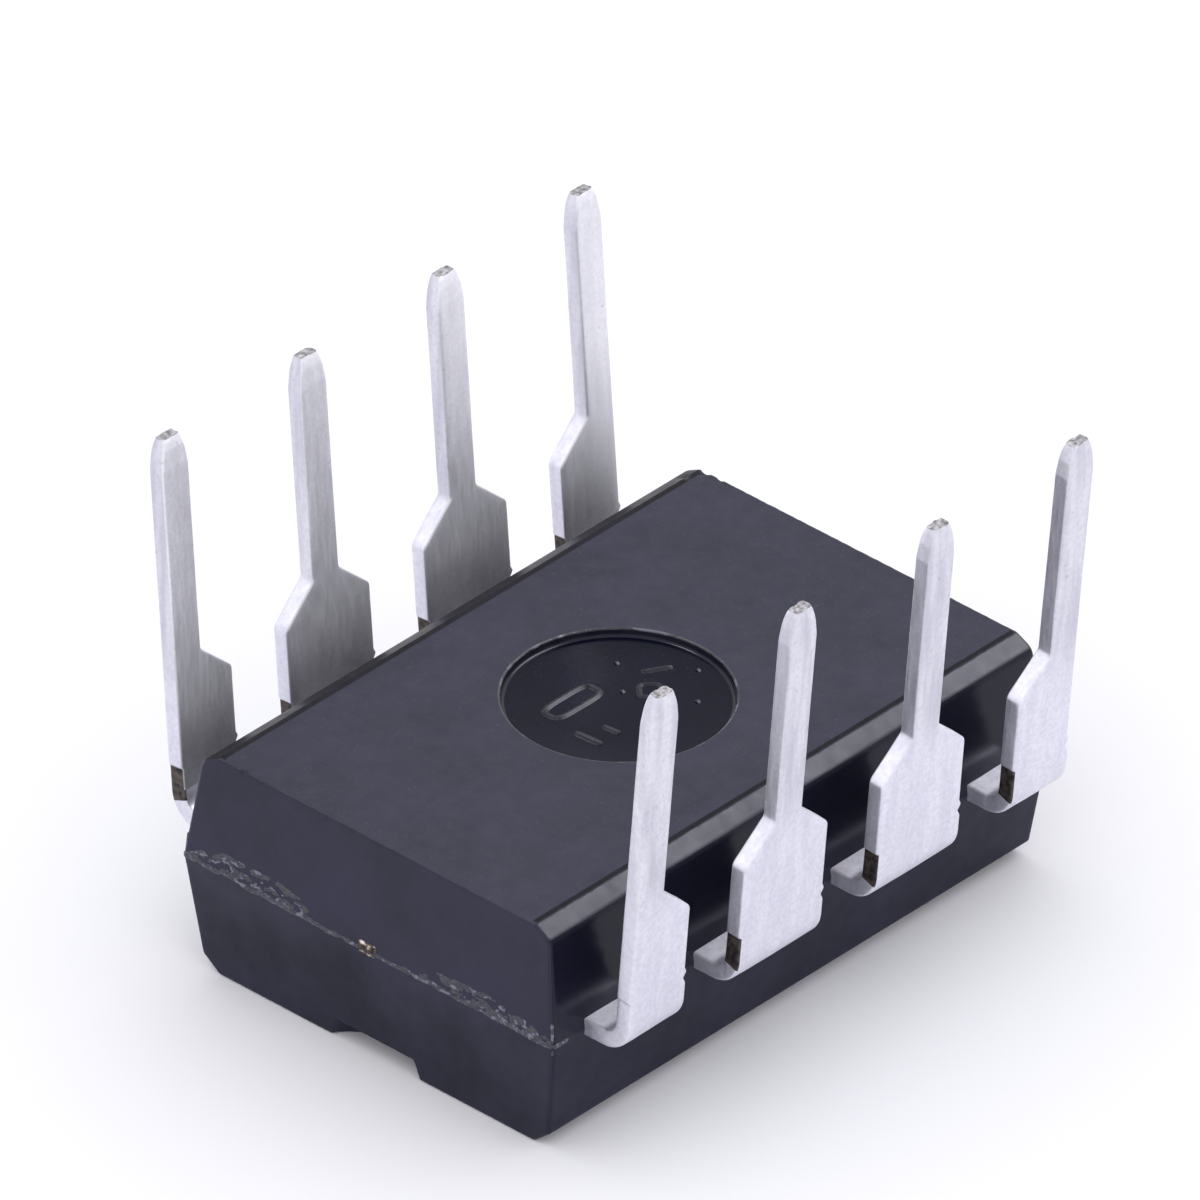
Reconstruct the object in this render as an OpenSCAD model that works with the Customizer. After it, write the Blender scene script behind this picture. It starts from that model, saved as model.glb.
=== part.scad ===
// Eight-lead dual in-line integrated circuit, lying on its top face with its leads pointing up.
// X runs along the body, with the pin 1 notch at the -X end. Y runs across the two rows of leads.
// The origin is the middle of the package's top face, which the part rests on at z = 0.
// Lengths are millimetres and angles are degrees.

/* [Moulded body] */
// Length of the body at its parting line
body_l = 9.28; // [9:0.02:12]
// Width of the body at its parting line
body_w = 6.30; // [5.2:0.02:7.8]
// Thickness of the body
body_h = 3.28; // [2.7:0.02:4]
// Height of the parting line above the top face
parting_z = 1.70; // [1.66:0.01:1.84]
// Draft of the long sides, which lean in on both sides of the parting line
side_draft = 7.5; // [3:0.5:12]
// Draft of the two ends
end_draft = 5.5; // [3:0.5:10]
// Width of the bevel along the long edges of the top face
top_bevel_w = 0.24; // [0.1:0.01:0.4]
// Height of the bevel along the long edges of the top face
top_bevel_h = 0.23; // [0.1:0.01:0.4]
// Width of the bevel along the long edges of the underside
under_bevel_w = 0.24; // [0.1:0.01:0.4]
// Height of the bevel along the long edges of the underside
under_bevel_h = 0.15; // [0.05:0.01:0.3]

/* [Pin 1 notch] */
// Width of the notch where it opens in the end face
notch_w = 1.53; // [1:0.01:2]
// How far the notch reaches in from the end face
notch_depth = 0.44; // [0.3:0.01:0.7]
// Height of the notch above the top face
notch_h = 0.30; // [0.15:0.01:0.5]
// Draft of the notch's curved wall
notch_draft = 15; // [0:1:20]

/* [Ejector recess] */
// Radius of the round recess in the underside
recess_r = 1.49; // [1:0.01:1.8]
// Depth of the round recess
recess_depth = 0.11; // [0.05:0.01:0.3]
// Height of the moulder's plain marks that stand on the recess's floor
mark_h = 0.04; // [0.02:0.01:0.05]
// Width of the strokes of those marks
mark_w = 0.09; // [0.06:0.01:0.12]

/* [Leads] */
// Spacing of the leads along each row
lead_pitch = 2.54; // [2.1:0.01:2.6]
// Thickness of the lead frame's strip
lead_t = 0.24; // [0.2:0.01:0.32]
// Height of the lead frame's lower face above the top face
frame_z = 1.60; // [1.5:0.01:1.65]
// Flat stretch of each lead between the body's parting line and its bend
foot_l = 0.29; // [0.2:0.01:0.5]
// Inside radius of the bend
bend_r = 0.22; // [0.1:0.01:0.4]
// Outward lean of each lead from upright
lead_splay = 4.9; // [0:0.1:10]
// Width of an inner lead's shoulder
shoulder_w = 1.54; // [1.2:0.01:1.78]
// Height above the top face at which the shoulders start to narrow
shoulder_z = 3.48; // [3.3:0.01:4]
// Length of the taper from shoulder to pin
shoulder_taper = 0.48; // [0.2:0.01:0.7]
// Width of the pins
pin_w = 0.48; // [0.4:0.01:0.56]
// Height of the lead tips above the top face
tip_z = 7.16; // [6.4:0.02:8]
// Length of the coined point at each tip
tip_l = 0.50; // [0.3:0.01:0.8]
// Width of the flat that the coining leaves at each tip
tip_w = 0.18; // [0.1:0.01:0.3]
// Thickness of that flat
tip_t = 0.10; // [0.05:0.01:0.16]
// Height to which the sides of each lead are cut back where the dam bars were sheared off
dambar_z = 2.42; // [2.2:0.01:2.8]
// Depth of that cut on each side
dambar_cut = 0.02; // [0.02:0.01:0.08]

/* [Lead frame inside the body] */
// Length of the pad that carries the chip
paddle_l = 3.50; // [2.6:0.05:4.2]
// Width of the pad that carries the chip
paddle_w = 2.50; // [2:0.05:3]
// Offset of the pad from the plane of the leads, towards the underside
paddle_offset = 0.20; // [0.1:0.01:0.4]
// Width of the tie bars that hold the pad
tie_w = 0.40; // [0.2:0.02:0.6]
// Length of the slope where each tie bar climbs to the pad
tie_slope_l = 0.40; // [0.2:0.02:0.6]
// Gap between the pad and the tips of the fingers
frame_gap = 0.35; // [0.2:0.01:0.5]
// Width of the fingers at their tips
finger_w = 0.70; // [0.5:0.02:0.9]
// Stretch inside the wall over which an inner finger keeps its full width
finger_root_l = 0.45; // [0.3:0.01:0.6]
// Length over which an inner finger then narrows
finger_taper_l = 0.35; // [0.2:0.01:0.5]
// Distance of a corner finger's inward arm from the middle line
corner_arm_y = 0.85; // [0.7:0.01:1]
// Length of the cut across a corner finger's outer elbow
corner_cut = 0.55; // [0.2:0.01:0.8]

/* [Chip and bond wires] */
// Length of the chip
die_l = 1.90; // [1.5:0.05:2.4]
// Width of the chip
die_w = 1.50; // [1.2:0.05:1.9]
// Thickness of the chip
die_t = 0.28; // [0.2:0.01:0.35]
// Thickness of the layer that bonds the chip to its pad
attach_t = 0.03; // [0.02:0.005:0.05]
// Width of the fillet of that layer outside the chip
attach_rim = 0.08; // [0.04:0.01:0.12]
// Diameter of the bond wires
wire_d = 0.036; // [0.03:0.002:0.05]
// Rise of a wire's arch above the straight line between its ends
arch_h = 0.22; // [0.12:0.01:0.35]
// Diameter of the thickened neck above a wire's ball
neck_d = 0.056; // [0.05:0.002:0.07]
// Height of the neck above the chip
neck_h = 0.07; // [0.06:0.005:0.1]
// Diameter of the ball and of the stitch at the ends of a wire
ball_d = 0.10; // [0.08:0.01:0.14]
// Thickness of the ball and of the stitch
ball_t = 0.02; // [0.015:0.005:0.03]
// Distance of the bond pads from the chip's edges
pad_inset = 0.10; // [0.08:0.01:0.15]
// Place along the chip of the pads wired to the inner leads
inner_pad_x = 0.40; // [0.2:0.01:0.6]
// Place across the chip of the pads wired to the corner leads
corner_pad_y = 0.35; // [0.2:0.01:0.5]
// Distance of each stitch from its finger's tip
stitch_inset = 0.15; // [0.1:0.01:0.2]

/* [Hidden] */
$fn = 64;

// Overrun of a cutting shape past the face that it cuts through
cut_over = 1;
lead_count = 8;
per_row = lead_count / 2;

// The lead frame's bend, seen along X: its centre and its two radii
bend_outer_r = bend_r + lead_t;
bend_y = body_w / 2 + foot_l;
bend_z = frame_z + bend_outer_r;
arm_l = (tip_z - bend_z + bend_outer_r * sin(lead_splay)) / cos(lead_splay);
row_reach = bend_y + bend_outer_r + arm_l * sin(lead_splay);

// Levels of the stack that hangs on the pad, from the pad's lower face down
paddle_z = frame_z + paddle_offset;
attach_z = paddle_z - attach_t;
die_z = attach_z - die_t;

// Fingers: where their tips stand off the pad
inner_tip_y = paddle_w / 2 + frame_gap;
corner_tip_x = paddle_l / 2 + frame_gap;
root_y = body_w / 2 - finger_root_l;

body_colour = [0.17, 0.17, 0.20];
tin_colour = [0.80, 0.80, 0.84];
copper_colour = [0.72, 0.45, 0.32];
attach_colour = [0.62, 0.62, 0.60];
die_colour = [0.32, 0.34, 0.42];
gold_colour = [0.90, 0.72, 0.30];

// Pins 1 to 4 run along the +Y row from -X to +X, and pins 5 to 8 back along the -Y row.
function row_side(pin) = pin <= per_row ? 1 : -1;
function row_place(pin) = pin <= per_row ? pin - 1 : lead_count - pin;
function lead_x(place) = (place - (per_row - 1) / 2) * lead_pitch;
function is_corner(place) = place == 0 || place == per_row - 1;
// +1 where the body's nearer end is +X, and -1 where it is -X
function end_side(place) = place < per_row / 2 ? -1 : 1;
// How far a lead reaches to either side of its centre line: a corner lead has no outer shoulder
function half_w(place, side) = (is_corner(place) && side == end_side(place) ? pin_w : shoulder_w) / 2;

// Inward lean of a drafted wall at a height above the top face
function lean(z, draft) = abs(z - parting_z) * tan(draft);

// Extrudes a Y-Z outline along X, centred on x = 0
module along_x(l) rotate([90, 0, 90]) linear_extrude(height = l, center = true) children();

// Extrudes an X-Z outline along Y, centred on y = 0
module along_y(l) rotate([90, 0, 0]) linear_extrude(height = l, center = true) children();

// One half of the body's section across its width, from the top face up
function section_half() = [
    [body_w / 2 - lean(0, side_draft) - top_bevel_w, 0],
    [body_w / 2 - lean(top_bevel_h, side_draft), top_bevel_h],
    [body_w / 2, parting_z],
    [body_w / 2 - lean(body_h - under_bevel_h, side_draft), body_h - under_bevel_h],
    [body_w / 2 - lean(body_h, side_draft) - under_bevel_w, body_h]
];

// One half of the body's outline seen from its side
function side_half() = [
    [body_l / 2 - lean(0, end_draft), 0],
    [body_l / 2, parting_z],
    [body_l / 2 - lean(body_h, end_draft), body_h]
];

// The same points on the other side of the middle line, in reverse order
function mirrored(points) = [for (k = [len(points) - 1 : -1 : 0]) [-points[k][0], points[k][1]]];

module mould_block() {
    intersection() {
        along_x(body_l + cut_over) polygon(concat(section_half(), mirrored(section_half())));
        along_y(body_w + cut_over) polygon(concat(side_half(), mirrored(side_half())));
    }
}

// Shallow arc-shaped cut in the top face's end, with a drafted wall
module pin_1_notch() {
    arc_r = (notch_w * notch_w / 4 + notch_depth * notch_depth) / (2 * notch_depth);
    arc_x = lean(0, end_draft) - body_l / 2 + notch_depth - arc_r;
    translate([arc_x, 0, -cut_over])
        cylinder(h = notch_h + cut_over, r1 = arc_r + cut_over * tan(notch_draft),
                 r2 = arc_r - notch_h * tan(notch_draft));
}

module ejector_recess() {
    translate([0, 0, body_h - recess_depth]) cylinder(h = recess_depth + cut_over, r = recess_r);
}

// A straight raised stroke with round ends, about its middle
module stroke(middle, length, lean, width = mark_w) {
    translate(middle) rotate(lean) {
        square([length, width], center = true);
        for (end = [-1, 1]) translate([end * length / 2, 0]) circle(d = width);
    }
}

// A closed raised line round a stroke's outline
module loop(middle, length, width) {
    difference() {
        stroke(middle, length, 0, width + mark_w);
        stroke(middle, length, 0, width - mark_w);
    }
}

// Plain raised marks on the recess's floor: two loops, three strokes and five pips
module mould_marks() {
    translate([0, 0, body_h - recess_depth]) linear_extrude(height = mark_h) {
        loop([-0.40, 0.42], 0.54, 0.30);
        loop([0.46, -0.12], 0.02, 0.26);
        stroke([-0.86, -0.28], 0.36, 95);
        stroke([-0.52, -0.36], 0.20, 95);
        stroke([0.86, 0.14], 0.36, 150);
        for (pip = [[0.20, 0.12], [0.68, -0.72], [1.20, -0.25], [0.05, -0.62], [0.62, 0.60]]) {
            translate(pip) circle(d = mark_w);
        }
    }
}

// The epoxy is moulded round the lead frame, the chip and its wires, and touches them all over.
module body() {
    color(body_colour) {
        difference() {
            mould_block();
            pin_1_notch();
            ejector_recess();
            for (pin = [1 : lead_count]) {
                lead(pin);
                bond_wire(pin);
            }
            die_paddle();
            die_attach();
            die();
        }
        mould_marks();
    }
}

// One edge of a lead's front outline, from below the frame up to the tip
function lead_edge(half) = [
    [half - dambar_cut, 0],
    [half - dambar_cut, dambar_z],
    [half, dambar_z + dambar_cut],
    [half, shoulder_z],
    [pin_w / 2, shoulder_z + shoulder_taper],
    [pin_w / 2, tip_z - tip_l],
    [tip_w / 2, tip_z]
];

// Front outline of a lead, in X and Z
module lead_outline(place) {
    polygon(concat(lead_edge(half_w(place, 1)), mirrored(lead_edge(half_w(place, -1)))));
}

// Section of the upright arm, which starts at the bend's end and narrows at its coined tip
module arm_section() {
    mid = bend_r + lead_t / 2;
    polygon([
        [bend_r, 0], [bend_outer_r, 0], [bend_outer_r, arm_l - tip_l],
        [mid + tip_t / 2, arm_l], [mid - tip_t / 2, arm_l], [bend_r, arm_l - tip_l]
    ]);
}

// The bend and the arm, as wide as the widest lead
module bent_strip() {
    translate([0, bend_y, bend_z]) {
        rotate([0, 90, 0]) rotate_extrude(angle = 90 - lead_splay)
            translate([bend_r, -shoulder_w / 2]) square([lead_t, shoulder_w]);
        rotate([-lead_splay, 0, 0]) along_x(shoulder_w) arm_section();
    }
}

// Plan of an inner lead's finger, from the bend in to its tip beside the pad
module inner_finger() {
    half = shoulder_w / 2 - dambar_cut;
    edge = [[half, bend_y], [half, root_y], [finger_w / 2, root_y - finger_taper_l], [finger_w / 2, inner_tip_y]];
    polygon(concat(edge, mirrored(edge)));
}

// Plan of a corner lead's finger at the +X end, which turns in to the end of the pad
module corner_finger() {
    outer = pin_w / 2 - dambar_cut;
    inner = shoulder_w / 2 - dambar_cut;
    tip_x = corner_tip_x - lead_x(per_row - 1);
    low_y = corner_arm_y - finger_w / 2;
    high_y = corner_arm_y + finger_w / 2;
    polygon([
        [outer, bend_y], [outer, low_y + corner_cut], [outer - corner_cut, low_y],
        [tip_x, low_y], [tip_x, high_y], [-inner, high_y], [-inner, bend_y]
    ]);
}

// One lead: the finger inside the body, the flat foot outside it, the bend and the upright pin
module lead(pin) {
    place = row_place(pin);
    color(tin_colour) translate([lead_x(place), 0, 0]) on_row(pin) {
        translate([0, 0, frame_z]) linear_extrude(height = lead_t) {
            if (is_corner(place)) {
                mirror([end_side(place) < 0 ? 1 : 0, 0]) corner_finger();
            } else {
                inner_finger();
            }
        }
        intersection() {
            bent_strip();
            translate([0, row_reach / 2, 0]) along_y(row_reach) lead_outline(place);
        }
    }
}

// Mirrors a shape of the +Y row into the -Y row for the pins that stand there
module on_row(pin) {
    if (row_side(pin) > 0) {
        children();
    } else {
        mirror([0, 1, 0]) children();
    }
}

// Section of the pad and its two tie bars along X, at the full thickness of the strip
module paddle_section() {
    end_x = body_l / 2;
    slope_x = paddle_l / 2 + tie_slope_l;
    lower = [[end_x, frame_z], [slope_x, frame_z], [paddle_l / 2, paddle_z]];
    low_run = concat(lower, mirrored(lower));
    high_run = [for (k = [len(low_run) - 1 : -1 : 0]) low_run[k] + [0, lead_t]];
    polygon(concat(low_run, high_run));
}

// The pad under the chip, with the tie bars whose cut ends show in the body's two end faces
module die_paddle() {
    color(copper_colour) intersection() {
        along_y(paddle_w) paddle_section();
        linear_extrude(height = body_h) {
            square([paddle_l, paddle_w + cut_over], center = true);
            square([body_l + cut_over, tie_w], center = true);
        }
    }
}

module die_attach() {
    color(attach_colour) translate([0, 0, attach_z + attach_t / 2])
        cube([die_l + 2 * attach_rim, die_w + 2 * attach_rim, attach_t], center = true);
}

module die() {
    color(die_colour) translate([0, 0, die_z + die_t / 2]) cube([die_l, die_w, die_t], center = true);
}

// Bond pad and stitch of a pin's wire, as [x, y] on the chip and on the finger
function pad_point(pin) =
    let (place = row_place(pin), toward = end_side(place), side = row_side(pin))
    is_corner(place) ? [toward * (die_l / 2 - pad_inset), side * corner_pad_y]
                     : [toward * inner_pad_x, side * (die_w / 2 - pad_inset)];
function stitch_point(pin) =
    let (place = row_place(pin), toward = end_side(place), side = row_side(pin))
    is_corner(place) ? [toward * (corner_tip_x + stitch_inset), side * corner_arm_y]
                     : [lead_x(place), side * (inner_tip_y + stitch_inset)];

// A wire in its own plane: its neck rises from the chip at the origin, and from there one arch
// reaches to the stitch, which lies run_l away and drop_h beyond the chip's face.
module wire_loop(run_l, drop_h) {
    start = [0, neck_h - wire_d];
    stop = [run_l, -drop_h];
    chord = stop - start;
    tilt = atan2(chord[1], chord[0]);
    arch_r = (chord * chord / 4 + arch_h * arch_h) / (2 * arch_h);
    half_angle = asin(norm(chord) / (2 * arch_r));
    centre = (start + stop) / 2 + (arch_h - arch_r) * [-sin(tilt), cos(tilt)];
    over_angle = wire_d / arch_r * 180 / PI;
    intersection() {
        union() {
            cylinder(h = ball_t, d = ball_d);
            cylinder(h = neck_h, d = neck_d);
            translate([centre[0], 0, centre[1]]) rotate([90, 0, 0])
                rotate([0, 0, 90 + tilt - half_angle - over_angle])
                rotate_extrude(angle = 2 * half_angle + over_angle)
                translate([arch_r, 0]) circle(d = wire_d);
            translate([run_l, 0, -drop_h]) cylinder(h = ball_t, d = ball_d);
        }
        translate([-cut_over, -cut_over, -drop_h]) cube([run_l + 2 * cut_over, 2 * cut_over, body_h]);
    }
}

module bond_wire(pin) {
    pad = pad_point(pin);
    run = stitch_point(pin) - pad;
    color(gold_colour) translate([pad[0], pad[1], die_z]) rotate([0, 0, atan2(run[1], run[0])])
        mirror([0, 0, 1]) wire_loop(norm(run), frame_z - die_z);
}

body();
lead(1);  // lead_1
lead(2);  // lead_2
lead(3);  // lead_3
lead(4);  // lead_4
lead(5);  // lead_5
lead(6);  // lead_6
lead(7);  // lead_7
lead(8);  // lead_8
die_paddle();
die_attach();
die();
bond_wire(1);  // bond_wire_1
bond_wire(2);  // bond_wire_2
bond_wire(3);  // bond_wire_3
bond_wire(4);  // bond_wire_4
bond_wire(5);  // bond_wire_5
bond_wire(6);  // bond_wire_6
bond_wire(7);  // bond_wire_7
bond_wire(8);  // bond_wire_8
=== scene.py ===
"""Looks of an eight-lead dual in-line integrated circuit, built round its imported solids.

The chip lies on its back: its top face rests on the floor at z = 0 and its leads point up.
X runs along the body, with the pin 1 notch at the -X end, and Y runs across the two rows.
"""

import itertools
import logging
import math
from dataclasses import dataclass, field
from enum import Enum

import bpy
import numpy as np
from bpy.types import Material, Node, NodeSocket, Object
from mathutils import Matrix, Vector


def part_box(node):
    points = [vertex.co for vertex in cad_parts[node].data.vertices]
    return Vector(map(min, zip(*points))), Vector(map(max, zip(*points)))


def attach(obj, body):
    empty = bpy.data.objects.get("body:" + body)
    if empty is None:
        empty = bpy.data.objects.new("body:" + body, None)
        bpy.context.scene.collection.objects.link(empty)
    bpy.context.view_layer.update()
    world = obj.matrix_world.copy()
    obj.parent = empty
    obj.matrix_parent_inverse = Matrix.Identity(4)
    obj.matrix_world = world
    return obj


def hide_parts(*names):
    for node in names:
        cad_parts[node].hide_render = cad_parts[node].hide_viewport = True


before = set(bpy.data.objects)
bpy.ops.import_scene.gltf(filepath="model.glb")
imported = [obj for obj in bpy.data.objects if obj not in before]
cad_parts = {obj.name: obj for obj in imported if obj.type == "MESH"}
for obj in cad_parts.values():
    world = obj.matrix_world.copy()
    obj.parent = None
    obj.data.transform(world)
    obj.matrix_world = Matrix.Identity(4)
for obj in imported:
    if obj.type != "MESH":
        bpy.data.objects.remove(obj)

MM = 0.001
LOG = logging.getLogger("chip")
Point = tuple[float, float]
Colour = tuple[float, float, float]
Direction = tuple[float, float, float]
Faces = list[tuple[int, ...]]
# Odd number that spreads a lattice place over all the bits of a word
HASH_STEP = np.uint64(0x9E3779B97F4A7C15)


class Slot(Enum):
    """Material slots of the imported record."""

    EPOXY = "epoxy"
    TIN = "tinned_lead"
    COPPER = "frame_copper"
    PASTE = "attach_paste"
    SILICON = "silicon"
    GOLD = "gold_wire"


class Zone(Enum):
    """Places on the moulded body that have a finish of their own; on EDGE it is a painted shade, on RIM a
    painted highlight and on RELIEF a painted sheen.
    """

    FACE = 0
    END = 1
    FLANK = 2
    RECESS = 3
    # Dark strip along the long bevels, and the far bevel: painted shade
    EDGE = 4
    END_LOW = 5
    FLANK_LOW = 6
    # Rim of the recess, whose pale crumbs are a painted highlight
    RIM = 7
    # Raised marks, lighter than the recess floor: a painted sheen
    RELIEF = 8
    BEVEL = 9


class LeadZone(Enum):
    """Places on a lead that have a finish of their own; on INNER it is the plate with a painted shade near
    the body.
    """

    PLATE = 0
    SHEARED = 1
    # Faces turned to the body, with a painted shade near it
    INNER = 2
    CROPPED = 3


# ---------------------------------------------------------------- shapes


@dataclass(frozen=True)
class Grain:
    """Smooth lattice noise, the same on every run.

    Attributes:
        cell: Size of one lattice cell, in metres.
        seed: Number that tells one grain from another.
    """

    cell: float
    seed: int

    def _lattice(self, cells: np.ndarray) -> np.ndarray:
        """Value from -1 to 1 of each lattice corner.

        Args:
            cells: Whole lattice places, one row each.

        Returns:
            One value for each row.
        """
        mixed = np.full(len(cells), self.seed, np.uint64)
        for column in cells.T:
            mixed = (mixed ^ column.astype(np.uint64)) * HASH_STEP
            mixed ^= mixed >> np.uint64(29)
        return (mixed >> np.uint64(40)).astype(float) / 2**23 - 1

    def at(self, points: np.ndarray) -> np.ndarray:
        """Noise from -1 to 1 at each point.

        Args:
            points: Positions in metres, one row each.

        Returns:
            One value for each row.
        """
        place = points / self.cell
        low = np.floor(place).astype(np.int64)
        part = place - low
        part = part * part * (3 - 2 * part)
        total = np.zeros(len(points))
        for corner in itertools.product((0, 1), repeat=points.shape[1]):
            share = np.prod(np.where(corner, part, 1 - part), axis=1)
            total += share * self._lattice(low + np.array(corner))
        return total


def fade(value: np.ndarray, start: float, stop: float) -> np.ndarray:
    """Climbs smoothly from 0 at start to 1 at stop.

    Args:
        value: Numbers to grade.
        start: Where the climb begins.
        stop: Where it ends, above or below start.

    Returns:
        A share from 0 to 1 for each number.
    """
    share = np.clip((value - start) / (stop - start), 0, 1)
    return share * share * (3 - 2 * share)


def rounded(corners: list[Point], radii: tuple[float, ...], steps: int = 4) -> np.ndarray:
    """Replaces each inner corner of a line by a smooth curve.

    Args:
        corners: The line's points.
        radii: One radius for each inner corner.
        steps: Stretches in each curve.

    Returns:
        The new line's points, one row each.
    """
    spots = [np.array(p, float) for p in corners]
    points = [spots[0]]
    for before, here, after, radius in zip(spots, spots[1:], spots[2:], radii):
        back, ahead = before - here, after - here
        back_l, ahead_l = np.linalg.norm(back), np.linalg.norm(ahead)
        turn = math.pi - math.acos(np.clip(back @ ahead / (back_l * ahead_l), -1, 1))
        reach = min(radius * math.tan(turn / 2), 0.45 * back_l, 0.45 * ahead_l)
        for t in np.linspace(0, 1, steps + 1):
            points.append(here + (1 - t) ** 2 * reach / back_l * back + t**2 * reach / ahead_l * ahead)
    points.append(spots[-1])
    return np.array(points)


@dataclass(frozen=True)
class Section:
    """A rectangle with round corners, as a ring of points that any size can be given to.

    Attributes:
        along: Stretches in each of the two sides that run along the first axis.
        across: Stretches in each of the other two sides.
        corner: Stretches in each round corner.
    """

    along: int
    across: int
    corner: int

    def template(self) -> tuple[np.ndarray, np.ndarray]:
        """Works out the ring once, for a square from -1 to 1.

        Returns:
            The corner centres' share of each point, and the outward direction of each point.
        """
        inner, outward = [], []
        counts = (self.across, self.along, self.across, self.along)
        ends = ((1, -1), (1, 1), (-1, 1), (-1, -1))
        for k, (start, stop) in enumerate(zip(ends, ends[1:] + ends[:1])):
            for t in np.arange(counts[k]) / counts[k]:
                inner.append(np.array(start) * (1 - t) + np.array(stop) * t)
                outward.append((math.cos(k * math.pi / 2), math.sin(k * math.pi / 2)))
            for t in np.arange(self.corner) / self.corner:
                inner.append(np.array(stop, float))
                turn = (k + t) * math.pi / 2
                outward.append((math.cos(turn), math.sin(turn)))
        return np.array(inner), np.array(outward)

    def ring(self, half: Point, radius: float, centre: Point = (0.0, 0.0)) -> np.ndarray:
        """Gives the ring its size.

        Args:
            half: Half the rectangle's size along each axis.
            radius: Radius of its corners.
            centre: Its middle.

        Returns:
            The ring's points, one row each.
        """
        inner, outward = self.template()
        return np.array(centre) + inner * (np.array(half) - radius) + outward * radius


def make_piece(name: str, points: np.ndarray, faces: Faces, sharp_deg: float = 40) -> Object:
    """Makes a smooth-shaded object out of points and faces.

    Args:
        name: Name of the piece.
        points: Positions in metres, one row each.
        faces: Point numbers of each face.
        sharp_deg: Edges that turn more than this stay crisp.

    Returns:
        The new object, in the scene.
    """
    mesh = bpy.data.meshes.new(name)
    mesh.from_pydata(points.tolist(), [], faces)
    mesh.update()
    mesh.shade_smooth()
    mesh.set_sharp_from_angle(angle=math.radians(sharp_deg))
    piece = bpy.data.objects.new(name, mesh)
    bpy.context.scene.collection.objects.link(piece)
    return piece


def loft_faces(rings: int, size: int, loop: bool = False) -> Faces:
    """Faces that join each ring of points to the next one, with a cap on each open end.

    Args:
        rings: Number of rings.
        size: Points in each ring.
        loop: Whether the last ring joins the first one, which leaves no end to cap.

    Returns:
        Point numbers of each face, ring by ring, and then those of the first and last ring's caps.
    """
    faces = []
    for k in range(rings if loop else rings - 1):
        low, high = k * size, (k + 1) % rings * size
        faces += [(low + i, low + (i + 1) % size, high + (i + 1) % size, high + i) for i in range(size)]
    if not loop:
        faces += [tuple(range(size))[::-1], tuple(range((rings - 1) * size, rings * size))]
    return faces


# ---------------------------------------------------------------- finishes


@dataclass(frozen=True)
class Stain:
    """Patches of a second colour, where cloudy noise climbs past a level.

    Attributes:
        cell: Size of the patches, in metres.
        detail: Number of finer layers in the noise.
        start: Noise at which a patch begins.
        stop: Noise at which it shows most.
        most: How much of the second colour shows there.
    """

    cell: float
    detail: float
    start: float
    stop: float
    most: float


def scaled(colour: Colour, share: float) -> Colour:
    """The colour made brighter or darker by a share."""
    return tuple(share * c for c in colour)


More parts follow.
